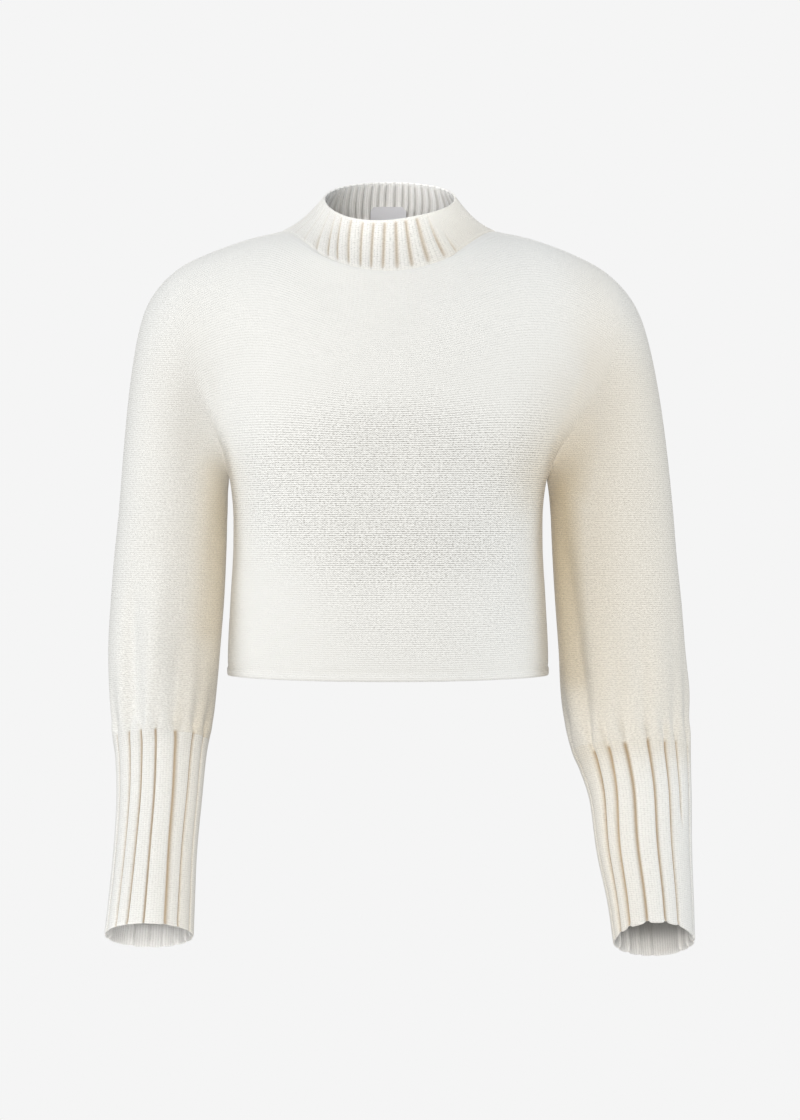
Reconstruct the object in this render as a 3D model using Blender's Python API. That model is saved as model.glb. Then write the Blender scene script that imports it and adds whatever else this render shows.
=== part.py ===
"""Cropped mock-neck sweater of ivory wool, hollow and filled out as it hangs on a general figure.

Frame: metres, +Z up, -Y the front, +X the wearer's left. The origin lies midway between the two side
neck points, where the shoulders carry the sweater.

Each piece of the cut is a wall of knitted cloth. Its outer face is a grid of points, which one function
of the garment's form works out: torso(), sleeve() or collar(). Its inner face lies a wall deeper. The
walls are lofted from these grids, because the pieces that meet at a seam share its points and its
direction: so they stay SEAM_GAP apart all along it, whatever the angle between them.
"""

import math

import bmesh
import bpy
import numpy as np

COLLECTION = "cropped_knit_sweater"
RIGHT, LEFT = -1, 1  # the wearer's sides, as signs of X
FRONT, BACK = -1, 1  # as signs of Y

# The cloth.
WALL = 0.002
LABEL_WALL = 0.0006
SEAM_GAP = 0.0003

# How many stretches each form is divided into.
LOWER_ROWS = 6  # hem to underarm
UPPER_ROWS = 12  # underarm to shoulder, which is half of a sleeve's ring too
PANEL_COLUMNS = 24  # side to side; the middle half of them ends at the collar
CAP_ROWS = 6  # armhole to the sleeve's first whole ring
SLEEVE_ROWS = 9
CUFF_ROWS = 5
COLLAR_ROWS = 4

# Torso. Below the underarm its sections are rounded boxes, a little flatter than ellipses.
HEM_HEIGHT = -0.4055
UNDERARM_HEIGHT = -0.228
HEM_DIP = 0.002  # how far the front of the hem hangs below its sides
SECTION_POWER = 2.25
ROUND_POWER = 0.5  # a section's sides are as round as an ellipse's
OPENING_RISE = 0.45  # above the underarm, where they have opened out towards the sleeves
# height, half width
TORSO_SIDES = (
    (-0.4055, 0.1456),
    (-0.385, 0.1455),
    (-0.340, 0.1433),
    (-0.285, 0.1405),
    (-0.250, 0.1412),
    (-0.228, 0.1440),
)
# height, y along the middle of the panel
TORSO_MIDDLE = {
    FRONT: (
        (-0.4055, -0.101),
        (-0.310, -0.104),
        (-0.228, -0.106),
        (-0.160, -0.105),
        (-0.105, -0.099),
        (-0.070, -0.092),
        (-0.048, -0.086),
    ),
    BACK: (
        (-0.4055, 0.091),
        (-0.310, 0.094),
        (-0.228, 0.099),
        (-0.150, 0.103),
        (-0.080, 0.100),
        (-0.025, 0.086),
        (0.018, 0.070),
    ),
}

# Neckline: side neck points, and the lowest and highest point of its front and back.
NECK_HALF_WIDTH = 0.0955
NECK_SIDE_HEIGHT = -0.001
NECK_POWER = 1.8  # how far the neckline keeps to its sides' height before it dips

# Armholes. They meet the side seam in a point and pass over the shoulder in a round.
SHOULDER_TIP_HEIGHT = {RIGHT: -0.036, LEFT: -0.040}
SHOULDER_POWER = {RIGHT: 1.2, LEFT: 1.35}  # the seam falls ever more steeply from neck to tip
SHOULDER_PACE = (2.0, 2.6)  # how late the panels turn over the shoulders, sideways and in depth
ARMHOLE_BOW = {FRONT: 0.058, BACK: 0.054}  # how far the armhole reaches forward and back
# height, reach from the middle on the wearer's right and left
ARMHOLES = (
    (-0.228, 0.1440, 0.1440),
    (-0.202, 0.1490, 0.1530),
    (-0.170, 0.1580, 0.1710),
    (-0.133, 0.1725, 0.1925),
    (-0.085, 0.1855, 0.2070),
    (-0.055, 0.1940, 0.2075),
    (-0.036, 0.1980, 0.2040),
)

# Sleeves and cuffs, one row for each section. The last row is the cuff's rim.
# height, reach of the inner and of the outer side, y of the middle, half depth, tilt of the front up in degrees
SLEEVES = {
    RIGHT: (
        (-0.262, 0.1462, 0.2450, 0.000, 0.0480, 0),
        (-0.300, 0.1472, 0.2488, -0.001, 0.0460, 3),
        (-0.340, 0.1490, 0.2516, -0.004, 0.0450, 7),
        (-0.385, 0.1521, 0.2535, -0.012, 0.0440, 12),
        (-0.420, 0.1542, 0.2528, -0.020, 0.0430, 15),
        (-0.446, 0.1563, 0.2512, -0.028, 0.0415, 17),
        (-0.464, 0.1602, 0.2470, -0.035, 0.0390, 18),
        (-0.481, 0.1626, 0.2440, -0.041, 0.0368, 19),
        (-0.516, 0.1653, 0.2418, -0.053, 0.0350, 19),
        (-0.559, 0.1684, 0.2428, -0.068, 0.0345, 20),
        (-0.601, 0.1691, 0.2455, -0.084, 0.0355, 21),
        (-0.629, 0.1692, 0.2475, -0.096, 0.0365, 25),
    ),
    LEFT: (
        (-0.262, 0.1480, 0.2595, 0.000, 0.0470, 0),
        (-0.300, 0.1496, 0.2625, -0.001, 0.0460, 3),
        (-0.340, 0.1518, 0.2663, -0.004, 0.0455, 7),
        (-0.385, 0.1546, 0.2692, -0.012, 0.0450, 12),
        (-0.420, 0.1556, 0.2722, -0.020, 0.0450, 15),
        (-0.446, 0.1584, 0.2726, -0.028, 0.0440, 17),
        (-0.473, 0.1648, 0.2714, -0.038, 0.0405, 18),
        (-0.490, 0.1718, 0.2710, -0.044, 0.0380, 19),
        (-0.516, 0.1796, 0.2706, -0.053, 0.0360, 19),
        (-0.559, 0.1846, 0.2693, -0.068, 0.0345, 20),
        (-0.601, 0.1928, 0.2691, -0.084, 0.0340, 21),
        (-0.634, 0.1968, 0.2686, -0.098, 0.0345, 30),
    ),
}
CUFF_SEAM_ROW = 6  # the row of the table where the cuff is joined on
# How a sleeve leaves the armhole: steepness at the shoulder, pull towards the arm's middle, and fullness.
CAP_SLOPE_TOP, CAP_SLOPE_BOTTOM = math.radians(28), math.radians(76)
CAP_SLOPE_POWER = 0.8
CAP_DRAW_IN = 0.35
CAP_FULLNESS_TOP, CAP_FULLNESS_BOTTOM = 0.53, 0.9
UPPER_ARM_LEAN = 0.09  # sideways, for each metre down

# Collar: a funnel of rib. Its rim leans forward, and dips a little at the sides.
RIM_HALF_WIDTH = 0.0600
RIM_MIDDLE = (0.0015, -0.005, 0.0240)
RIM_HALF_DEPTH = 0.0600
RIM_LEAN = math.radians(24)
RIM_SIDE_RISE = 0.0025
RIM_FRONT_TWIST = 0.0025  # in front the rim sits lower on the wearer's right than on the left
COLLAR_SAG = {"side": 0.007, "middle": 0.003}  # how far the funnel's curve hangs below a straight line

# Neck label: a plain woven tab that hangs inside the back neck, across the seam. Its top corners are cut off.
# share of the label's drop, half width
LABEL_ROWS = ((0.0, 0.0140), (0.1, 0.0172), (0.5, 0.0176), (1.0, 0.0176))
LABEL_COLUMNS = 6
LABEL_TOP = 0.42  # up from the neck seam, as a share of the collar's height
LABEL_BOTTOM = 0.78  # on the back panel, as torso() counts
LABEL_CLEARANCE = 0.0016

UNDERARM_NORMAL = (0, 0, -1)  # body and sleeve hang side by side from the underarm point

# Finish.
SHARP_EDGE = math.radians(50)
ROUGHNESS = 0.9
IVORY = (0.82, 0.79, 0.70)
IVORY_RIB = (0.80, 0.76, 0.66)
LABEL_GREY = (0.45, 0.45, 0.47)


def unit(vectors):
    """The same directions, each of length 1."""
    return vectors / np.linalg.norm(vectors, axis=-1, keepdims=True)


def mix(a, b, share):
    """a where share is 0, b where it is 1."""
    return a + (b - a) * share


def ease(x):
    """A soft step from 0 to 1."""
    x = np.clip(x, 0, 1)
    return x * x * (3 - 2 * x)


def read(table, column, at):
    """A smooth curve through one column of a table, against its first column."""
    rows = np.array(sorted(table), float)
    places, values = rows[:, 0], rows[:, column]
    slopes = np.gradient(values, places)
    at = np.clip(at, places[0], places[-1])
    i = np.clip(np.searchsorted(places, at) - 1, 0, len(places) - 2)
    step = places[i + 1] - places[i]
    t = (at - places[i]) / step
    rest = 1 - t
    return (
        values[i] * rest**2 * (1 + 2 * t)
        + values[i + 1] * t**2 * (3 - 2 * t)
        + step * (slopes[i] * t * rest**2 - slopes[i + 1] * t**2 * rest)
    )


def height_share(rise):
    """How high a row of the upper body is: it levels out towards the shoulder seam."""
    return rise + rise**2 - rise**3


def armhole(side, face, rise):
    """The armhole from the underarm (rise 0) over the front or the back to the shoulder tip (rise 1)."""
    rise = np.asarray(rise, float)
    share = height_share(rise)
    reach = read(ARMHOLES, 1 if side == RIGHT else 2, mix(UNDERARM_HEIGHT, ARMHOLES[-1][0], share))
    height = mix(UNDERARM_HEIGHT, SHOULDER_TIP_HEIGHT[side], share)
    return np.stack([side * reach, face * ARMHOLE_BOW[face] * np.sin(math.pi * rise), height], axis=-1)


def neckline(face, across):
    """The neckline of the front or back, from the right side neck point (across -1) to the left (1)."""
    turn = across * math.pi / 2
    y, height = TORSO_MIDDLE[face][-1][::-1]
    dip = np.abs(np.cos(turn)) ** NECK_POWER
    return np.stack(
        [NECK_HALF_WIDTH * np.sin(turn), y * np.cos(turn), mix(NECK_SIDE_HEIGHT, height, dip)], axis=-1
    )


def top_edge(face, across):
    """A panel's top edge: the shoulder seams, and the neckline between them (across -0.5 to 0.5)."""
    tip = np.where(across[..., None] < 0, armhole(RIGHT, FRONT, 1), armhole(LEFT, FRONT, 1))
    power = np.where(across < 0, SHOULDER_POWER[RIGHT], SHOULDER_POWER[LEFT])
    out = np.clip(2 * np.abs(across) - 1, 0, 1)
    seam = np.stack(
        [
            mix(np.sign(across) * NECK_HALF_WIDTH, tip[..., 0], out),
            np.zeros_like(across),
            mix(NECK_SIDE_HEIGHT, tip[..., 2], out**power),
        ],
        axis=-1,
    )
    return np.where(np.abs(across)[..., None] > 0.5, seam, neckline(face, np.clip(2 * across, -1, 1)))


def level_row(face, across, rise):
    """A row of knitting from armhole to armhole, were the panel not bent over the shoulders."""
    middle_height = mix(UNDERARM_HEIGHT, TORSO_MIDDLE[face][-1][0], height_share(rise))
    middle_y = read(TORSO_MIDDLE[face], 1, middle_height)
    right, left = armhole(RIGHT, face, rise), armhole(LEFT, face, rise)
    end = np.where(across[..., None] < 0, right, left)
    sine = np.sin(across * math.pi / 2)
    round_power = mix(ROUND_POWER, 1.0, ease(rise / OPENING_RISE))
    fullness = np.clip(1 - np.abs(sine) ** SECTION_POWER, 0, 1) ** round_power
    return np.stack(
        [
            np.abs(end[..., 0]) * sine,
            mix(end[..., 1], middle_y, fullness),
            mix(end[..., 2], middle_height, 1 - sine**2),
        ],
        axis=-1,
    )


def torso(face, across, level):
    """The outer face of the front or back. across runs from -1 at the wearer's right side to 1 at the
    left; level from -1 at the hem through 0 at the underarm to 1 at the shoulder seams and neckline."""
    across, level = np.broadcast_arrays(np.asarray(across, float), np.asarray(level, float))
    sine = np.sin(across * math.pi / 2)
    height = mix(UNDERARM_HEIGHT, HEM_HEIGHT, np.clip(-level, 0, 1))
    fullness = np.clip(1 - np.abs(sine) ** SECTION_POWER, 0, 1) ** ROUND_POWER
    dip = HEM_DIP * (1 - sine**2) * ease(-level) if face == FRONT else 0
    lower = np.stack(
        [
            read(TORSO_SIDES, 1, height) * sine,
            read(TORSO_MIDDLE[face], 1, height) * fullness,
            height - dip,
        ],
        axis=-1,
    )
    rise = np.clip(level, 0, 1)
    # Sideways, depth and height come over to the top edge's at their own pace, for a round shoulder.
    sideways, deep = SHOULDER_PACE
    pace = np.stack([rise**sideways, rise**deep, np.sin(math.pi / 2 * rise) ** 2], axis=-1)
    bend = top_edge(face, across) - level_row(face, across, np.ones_like(rise))
    # The side neck points' corners fade out below them.
    corner = np.where(across < 0, -0.5, 0.5)
    corner_bend = top_edge(face, corner) - level_row(face, corner, np.ones_like(rise))
    soft_bend = corner_bend * (np.sin(math.pi * across) ** 2)[..., None]
    upper = level_row(face, across, rise) + pace * mix(soft_bend, bend, ease(2 * rise - 1)[..., None])
    return np.where(level[..., None] < 0, lower, upper)


def section(side, around, row):
    """A point on a sleeve's section. around runs from 0 at the body over the front (0.25) and the outer
    side (0.5) to the back (0.75). row counts through the table, with parts of a row between."""
    table = [(i, *values) for i, values in enumerate(SLEEVES[side])]
    height, inner, outer, y, depth, tilt = (read(table, c, row) for c in range(1, 7))
    turn, tilt = around * 2 * math.pi, np.radians(tilt)
    forward = depth * np.sin(turn)
    return np.stack(
        [
            side * (mix(inner, outer, 0.5) - (outer - inner) / 2 * np.cos(turn)),
            y - forward * np.cos(tilt),
            height + forward * np.sin(tilt),
        ],
        axis=-1,
    )


def cap(side, around, share):
    """The sleeve from the armhole (share 0) to its first whole section (share 1)."""
    front = around <= 0.5
    rise = np.where(front, 2 * around, 2 - 2 * around)
    start = np.where(front[..., None], armhole(side, FRONT, rise), armhole(side, BACK, rise))
    end = section(side, around, np.zeros_like(around))
    turn = around * 2 * math.pi
    outward = (1 - np.cos(turn)) / 2
    slope = mix(CAP_SLOPE_BOTTOM, CAP_SLOPE_TOP, outward**CAP_SLOPE_POWER)
    leave = unit(np.stack([side * np.cos(slope), CAP_DRAW_IN * np.sin(turn), -np.sin(slope)], axis=-1))
    arrive = unit(np.array([side * UPPER_ARM_LEAN, 0.0, -1.0]))
    length = np.linalg.norm(end - start, axis=-1, keepdims=True)
    fullness = mix(CAP_FULLNESS_BOTTOM, CAP_FULLNESS_TOP, outward)[..., None]
    t = np.asarray(share)[..., None]
    rest = 1 - t
    return (
        start * rest**2 * (1 + 2 * t)
        + end * t**2 * (3 - 2 * t)
        + length * fullness * leave * t * rest**2
        - length * CAP_FULLNESS_BOTTOM * arrive * t**2 * rest
    )


def sleeve(side, around, along):
    """The sleeve's outer face: along runs from -1 at the armhole through 0 at the first whole section,
    and then counts the table's rows."""
    around, along = np.broadcast_arrays(np.asarray(around, float), np.asarray(along, float))
    return np.where(
        along[..., None] < 0,
        cap(side, around, np.clip(along + 1, 0, 1)),
        section(side, around, np.clip(along, 0, None)),
    )


def collar(around, up):
    """The collar's outer face: around runs from 0 at the right side neck point over the front (0.25) to
    the left (0.5) and the back (0.75); up from 0 at the neckline to 1 at the rim."""
    around, up = np.broadcast_arrays(np.asarray(around, float), np.asarray(up, float))
    front = around <= 0.5
    across = np.where(front, 4 * around - 1, 3 - 4 * around)
    base = np.where(front[..., None], neckline(FRONT, across), neckline(BACK, across))
    turn = around * 2 * math.pi
    forward = RIM_HALF_DEPTH * np.sin(turn)
    twist = RIM_FRONT_TWIST * np.sin(2 * turn) * np.clip(np.sin(turn), 0, 1)
    rim = np.stack(
        [
            RIM_MIDDLE[0] - RIM_HALF_WIDTH * np.cos(turn),
            RIM_MIDDLE[1] - forward * math.cos(RIM_LEAN),
            RIM_MIDDLE[2] - forward * math.sin(RIM_LEAN) + RIM_SIDE_RISE * np.cos(turn) ** 2 - twist,
        ],
        axis=-1,
    )
    sag = mix(COLLAR_SAG["side"], COLLAR_SAG["middle"], np.abs(np.sin(turn)))
    t = up[..., None]
    straight = mix(base, rim, t)
    straight[..., 2] -= 2 * sag * up * (1 - up)
    return straight


def label_face():
    """The label's face next to the cloth, before it is moved in."""
    rows = []
    for share, half_width in LABEL_ROWS:
        x = np.linspace(-half_width, half_width, LABEL_COLUMNS + 1)
        across = np.arcsin(x / NECK_HALF_WIDTH) * 2 / math.pi
        top = collar((3 - across) / 4, LABEL_TOP)
        bottom = torso(BACK, across / 2, LABEL_BOTTOM)
        row = mix(top, bottom, share)
        row[:, 0] = x
        rows.append(row)
    return np.array(rows)


class Cloth:
    """A piece of the cut: a grid of points on its outer face. A ring's last column joins its first.
    facing is 1 where rows crossed with columns point out of the garment, or else -1."""

    def __init__(self, name, points, facing, ring=False, wall=WALL, colour=IVORY):
        self.name, self.points, self.facing, self.ring = name, points, facing, ring
        self.wall, self.colour = wall, colour
        self.rows, self.columns = points.shape[:2]
        self.shift = np.zeros_like(points)
        self.normals = None

    def faces(self):
        """Each face of the grid, as the (row, column) of its corners."""
        for r in range(self.rows - 1):
            for c in range(self.columns if self.ring else self.columns - 1):
                after = (c + 1) % self.columns
                yield (r, c), (r, after), (r + 1, after), (r + 1, c)

    def into(self, places):
        """For each of a row of places along an edge, the direction across that edge into the piece."""
        found = []
        for k, (r, c) in enumerate(places):
            before, after = places[max(k - 1, 0)], places[min(k + 1, len(places) - 1)]
            along = unit(self.points[after] - self.points[before])
            if before[0] == after[0]:
                inside = (1 if r == 0 else r - 1, c)
            else:
                inside = (r, 1 if c == 0 else c - 1)
            across = self.points[inside] - self.points[r, c]
            found.append(unit(across - along * (across @ along)))
        return found


def sew(a, places_a, b, places_b):
    """Sets two pieces SEAM_GAP apart along the seam whose points they share."""
    for at_a, at_b, into_a, into_b in zip(places_a, places_b, a.into(places_a), b.into(places_b)):
        apart = unit(into_a - into_b) * SEAM_GAP / 2
        a.shift[at_a] = apart if a.ring else a.shift[at_a] + apart
        b.shift[at_b] = -apart if b.ring else b.shift[at_b] - apart


def give_normals(pieces, folds=()):
    """Gives each point the whole garment's normal there, so that walls meet squarely at a seam. folds
    are points where the cloth doubles back sharply, each with its normal."""

    def key(point):
        return tuple(np.round(point, 6) + 0.0)

    sums = {}
    for piece in pieces:
        for corners in piece.faces():
            a, b, c, d = (piece.points[corner] for corner in corners)
            normal = np.cross(c - a, d - b) * piece.facing
            for corner in (a, b, c, d):
                sums[key(corner)] = sums.get(key(corner), 0) + normal
    sums.update((key(point), np.array(normal, float)) for point, normal in folds)
    for piece in pieces:
        piece.normals = unit(np.array([[sums[key(point)] for point in row] for row in piece.points]))


def material(name, colour, roughness):
    made = bpy.data.materials.new(name)
    made.use_nodes = True
    shader = made.node_tree.nodes["Principled BSDF"]
    shader.inputs["Base Color"].default_value = (*colour, 1)
    shader.inputs["Roughness"].default_value = roughness
    shader.inputs["Metallic"].default_value = 0
    return made


def loft(piece, collection, parent):
    """Makes the piece's solid: its outer grid, the same grid a wall deeper, and a rim on each open edge."""
    outer = piece.points + piece.shift
    inner = outer - piece.normals * piece.wall
    work = bmesh.new()
    skin, lining = ([[work.verts.new(point) for point in row] for row in grid] for grid in (outer, inner))
    sides = set()
    for corners in piece.faces():
        work.faces.new([skin[r][c] for r, c in corners])
        work.faces.new([lining[r][c] for r, c in reversed(corners)])
        sides.update(zip(corners, corners[1:] + corners[:1]))
    for low, high in sorted(sides):
        if (high, low) not in sides:
            # Both pieces at a seam split their rims' twisted faces alike: from the lower point's skin.
            if outer[low][2] > outer[high][2]:
                low, high = high, low
            (r0, c0), (r1, c1) = low, high
            work.faces.new([skin[r0][c0], skin[r1][c1], lining[r1][c1]])
            work.faces.new([skin[r0][c0], lining[r1][c1], lining[r0][c0]])
    bmesh.ops.recalc_face_normals(work, faces=work.faces)
    mesh = bpy.data.meshes.new(piece.name)
    work.to_mesh(mesh)
    work.free()
    mesh.shade_smooth()
    mesh.set_sharp_from_angle(angle=SHARP_EDGE)
    mesh.materials.append(material(piece.name, piece.colour, ROUGHNESS))
    made = bpy.data.objects.new(piece.name, mesh)
    made.parent = parent
    collection.objects.link(made)


def cut_garment():
    """All pieces of the cut, with their seams sewn."""
    across = np.linspace(-1, 1, PANEL_COLUMNS + 1)
    levels = np.r_[np.linspace(-1, 0, LOWER_ROWS + 1), np.linspace(0, 1, UPPER_ROWS + 1)[1:]][:, None]
    ring = 2 * UPPER_ROWS
    around = np.arange(ring) / ring
    down = np.r_[np.linspace(-1, 0, CAP_ROWS + 1), np.linspace(0, CUFF_SEAM_ROW, SLEEVE_ROWS + 1)[1:]][:, None]
    front = Cloth("front", torso(FRONT, across, levels), facing=1)
    back = Cloth("back", torso(BACK, across, levels), facing=-1)
    neck = Cloth(
        "collar",
        collar(np.arange(PANEL_COLUMNS) / PANEL_COLUMNS, np.linspace(0, 1, COLLAR_ROWS + 1)[:, None]),
        facing=1,
        ring=True,
        colour=IVORY_RIB,
    )
    pieces = [front, back, neck]
    top, last = LOWER_ROWS + UPPER_ROWS, PANEL_COLUMNS
    quarter, half = last // 4, last // 2
    for side, name, edge in ((RIGHT, "right", 0), (LEFT, "left", last)):
        arm = Cloth(f"sleeve_{name}", sleeve(side, around, down), facing=-side, ring=True)
        rows = np.linspace(CUFF_SEAM_ROW, len(SLEEVES[side]) - 1, CUFF_ROWS + 1)[:, None]
        cuff = Cloth(f"cuff_{name}", sleeve(side, around, rows), facing=-side, ring=True, colour=IVORY_RIB)
        pieces += [arm, cuff]
        side_seam = [(r, edge) for r in range(LOWER_ROWS + 1)]
        sew(front, side_seam, back, side_seam)
        armhole_edge = [(LOWER_ROWS + r, edge) for r in range(UPPER_ROWS + 1)]
        sew(front, armhole_edge, arm, [(0, k) for k in range(UPPER_ROWS + 1)])
        sew(back, armhole_edge, arm, [(0, -k % ring) for k in range(UPPER_ROWS + 1)])
        shoulder = [(top, abs(edge - c)) for c in range(quarter + 1)]
        sew(front, shoulder, back, shoulder)
        sew(arm, [(arm.rows - 1, k) for k in range(ring)], cuff, [(0, k) for k in range(ring)])
    neck_edge = [(top, quarter + c) for c in range(half + 1)]
    sew(front, neck_edge, neck, [(0, k) for k in range(half + 1)])
    sew(back, neck_edge, neck, [(0, -k % last) for k in range(half + 1)])
    give_normals(pieces, [(torso(FRONT, end, 0), UNDERARM_NORMAL) for end in (-1, 1)])

    label = Cloth("neck_label", label_face(), facing=1, wall=LABEL_WALL, colour=LABEL_GREY)
    give_normals([label])
    label.shift -= label.normals * (WALL + LABEL_CLEARANCE)
    return [*pieces, label]


def main():
    for thing in list(bpy.data.objects):
        bpy.data.objects.remove(thing)
    collection = bpy.data.collections.new(COLLECTION)
    bpy.context.scene.collection.children.link(collection)
    shoulders = bpy.data.objects.new("shoulders", None)
    collection.objects.link(shoulders)
    for piece in cut_garment():
        loft(piece, collection, shoulders)


main()
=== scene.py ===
"""Looks of the cropped mock-neck sweater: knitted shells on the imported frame, studio light and camera.

Metres, +Z up, -Y the front, +X the wearer's left. The garment's form comes from the same sections as the
frame's solids. It is worked out on a net of points, softened across the seams, and each piece of the cut is
then drawn finely on its part of the net, with ribs, gathers, folds, seams and rounded edges.
"""

import math
from functools import partial

import bpy
import numpy as np
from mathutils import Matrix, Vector


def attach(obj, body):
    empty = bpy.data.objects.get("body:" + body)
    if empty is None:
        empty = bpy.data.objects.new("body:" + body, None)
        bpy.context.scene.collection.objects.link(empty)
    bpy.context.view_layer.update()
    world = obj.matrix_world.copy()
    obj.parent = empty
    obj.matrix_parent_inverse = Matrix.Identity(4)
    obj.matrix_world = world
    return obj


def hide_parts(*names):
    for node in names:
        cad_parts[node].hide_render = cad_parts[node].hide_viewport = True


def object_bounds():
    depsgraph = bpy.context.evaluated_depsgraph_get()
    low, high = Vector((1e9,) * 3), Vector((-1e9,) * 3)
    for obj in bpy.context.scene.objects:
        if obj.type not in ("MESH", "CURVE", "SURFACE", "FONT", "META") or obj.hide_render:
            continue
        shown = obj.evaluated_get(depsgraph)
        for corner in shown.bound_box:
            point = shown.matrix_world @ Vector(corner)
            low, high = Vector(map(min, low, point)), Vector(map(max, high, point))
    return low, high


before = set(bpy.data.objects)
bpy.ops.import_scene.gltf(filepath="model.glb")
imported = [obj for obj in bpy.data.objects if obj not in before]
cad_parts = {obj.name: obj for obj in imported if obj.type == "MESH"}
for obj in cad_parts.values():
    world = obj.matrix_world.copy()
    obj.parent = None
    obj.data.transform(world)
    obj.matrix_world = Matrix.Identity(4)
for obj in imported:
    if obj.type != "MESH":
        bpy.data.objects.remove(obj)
CAD_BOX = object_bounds()

RIGHT, LEFT = -1, 1  # the wearer's sides, as signs of X
FRONT, BACK = -1, 1  # as signs of Y

# ---------------------------------------------------------------- sizes of the form

HEM_HEIGHT = -0.4055
UNDERARM_HEIGHT = -0.228
HEM_DIP = 0.002
SECTION_POWER = 2.25
ROUND_POWER = 0.5
OPENING_RISE = 0.45
# height, half width
TORSO_SIDES = (
    (-0.4055, 0.1456),
    (-0.385, 0.1455),
    (-0.340, 0.1433),
    (-0.285, 0.1405),
    (-0.250, 0.1412),
    (-0.228, 0.1440),
)
# height, y along the middle of the panel
TORSO_MIDDLE = {
    FRONT: (
        (-0.4055, -0.101),
        (-0.310, -0.104),
        (-0.228, -0.106),
        (-0.160, -0.105),
        (-0.105, -0.099),
        (-0.070, -0.092),
        (-0.048, -0.086),
    ),
    BACK: (
        (-0.4055, 0.091),
        (-0.310, 0.094),
        (-0.228, 0.099),
        (-0.150, 0.103),
        (-0.080, 0.100),
        (-0.025, 0.086),
        (0.018, 0.070),
    ),
}
NECK_HALF_WIDTH = 0.0955
NECK_SIDE_HEIGHT = -0.001
NECK_POWER = 1.8
SHOULDER_TIP_HEIGHT = {RIGHT: -0.036, LEFT: -0.040}
SHOULDER_POWER = {RIGHT: 1.2, LEFT: 1.35}
SHOULDER_PACE = (2.0, 2.6)
ARMHOLE_BOW = {FRONT: 0.058, BACK: 0.054}
# height, reach from the middle on the wearer's right and left
ARMHOLES = (
    (-0.228, 0.1440, 0.1440),
    (-0.202, 0.1490, 0.1530),
    (-0.170, 0.1580, 0.1710),
    (-0.133, 0.1725, 0.1925),
    (-0.085, 0.1855, 0.2070),
    (-0.055, 0.1940, 0.2075),
    (-0.036, 0.1980, 0.2040),
)
# height, reach of the inner and of the outer side, y of the middle, half depth, tilt of the front up in
# degrees
SLEEVES = {
    RIGHT: (
        (-0.262, 0.1462, 0.2450, 0.000, 0.0480, 0),
        (-0.300, 0.1472, 0.2488, -0.001, 0.0460, 3),
        (-0.340, 0.1490, 0.2516, -0.004, 0.0450, 7),
        (-0.385, 0.1521, 0.2535, -0.012, 0.0440, 12),
        (-0.420, 0.1542, 0.2528, -0.020, 0.0430, 15),
        (-0.446, 0.1563, 0.2512, -0.028, 0.0415, 17),
        (-0.464, 0.1602, 0.2470, -0.035, 0.0390, 18),
        (-0.481, 0.1626, 0.2440, -0.041, 0.0368, 19),
        (-0.516, 0.1653, 0.2418, -0.053, 0.0350, 19),
        (-0.559, 0.1684, 0.2428, -0.068, 0.0345, 20),
        (-0.601, 0.1691, 0.2455, -0.084, 0.0355, 21),
        (-0.629, 0.1692, 0.2475, -0.096, 0.0365, 25),
    ),
    LEFT: (
        (-0.262, 0.1480, 0.2595, 0.000, 0.0470, 0),
        (-0.300, 0.1496, 0.2625, -0.001, 0.0460, 3),
        (-0.340, 0.1518, 0.2663, -0.004, 0.0455, 7),
        (-0.385, 0.1546, 0.2692, -0.012, 0.0450, 12),
        (-0.420, 0.1556, 0.2722, -0.020, 0.0450, 15),
        (-0.446, 0.1584, 0.2726, -0.028, 0.0440, 17),
        (-0.473, 0.1648, 0.2714, -0.038, 0.0405, 18),
        (-0.490, 0.1718, 0.2710, -0.044, 0.0380, 19),
        (-0.516, 0.1796, 0.2706, -0.053, 0.0360, 19),
        (-0.559, 0.1846, 0.2693, -0.068, 0.0345, 20),
        (-0.601, 0.1928, 0.2691, -0.084, 0.0340, 21),
        (-0.634, 0.1968, 0.2686, -0.098, 0.0345, 30),
    ),
}
CUFF_SEAM_ROW = 6
CUFF_END_ROW = 11
CAP_SLOPE_TOP, CAP_SLOPE_BOTTOM = math.radians(28), math.radians(76)
CAP_SLOPE_POWER = 0.8
CAP_DRAW_IN = 0.35
CAP_FULLNESS_TOP, CAP_FULLNESS_BOTTOM = 0.53, 0.9
UPPER_ARM_LEAN = 0.09
UNDERARM_NORMAL = (0, 0, -1)
RIM_HALF_WIDTH = 0.0600
RIM_MIDDLE = (0.0015, -0.005, 0.0240)
RIM_HALF_DEPTH = 0.0600
RIM_LEAN = math.radians(24)
RIM_SIDE_RISE = 0.0025
RIM_FRONT_TWIST = 0.0025
COLLAR_SAG = {"side": 0.007, "middle": 0.003}
# share of the label's drop, half width
LABEL_ROWS = ((0.0, 0.0140), (0.1, 0.0172), (0.5, 0.0176), (1.0, 0.0176))
LABEL_TOP = 0.42
LABEL_BOTTOM = 0.78
LABEL_CLEARANCE = 0.0034

# ---------------------------------------------------------------- cloth and its drawing

WALL = 0.0018
LABEL_WALL = 0.0006
EDGE_TURNS = [math.pi * k / 4 for k in (1, 2, 3)]  # the points round a free edge
SHARP, LABEL_SHARP = math.radians(60), math.radians(40)

# The net: how many stretches each form is divided into.
LOWER_ROWS, UPPER_ROWS, PANEL_COLUMNS = 30, 48, 96
CAP_ROWS, SLEEVE_ROWS, CUFF_ROWS, COLLAR_ROWS = 24, 36, 30, 16
RING = 2 * UPPER_ROWS

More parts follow.
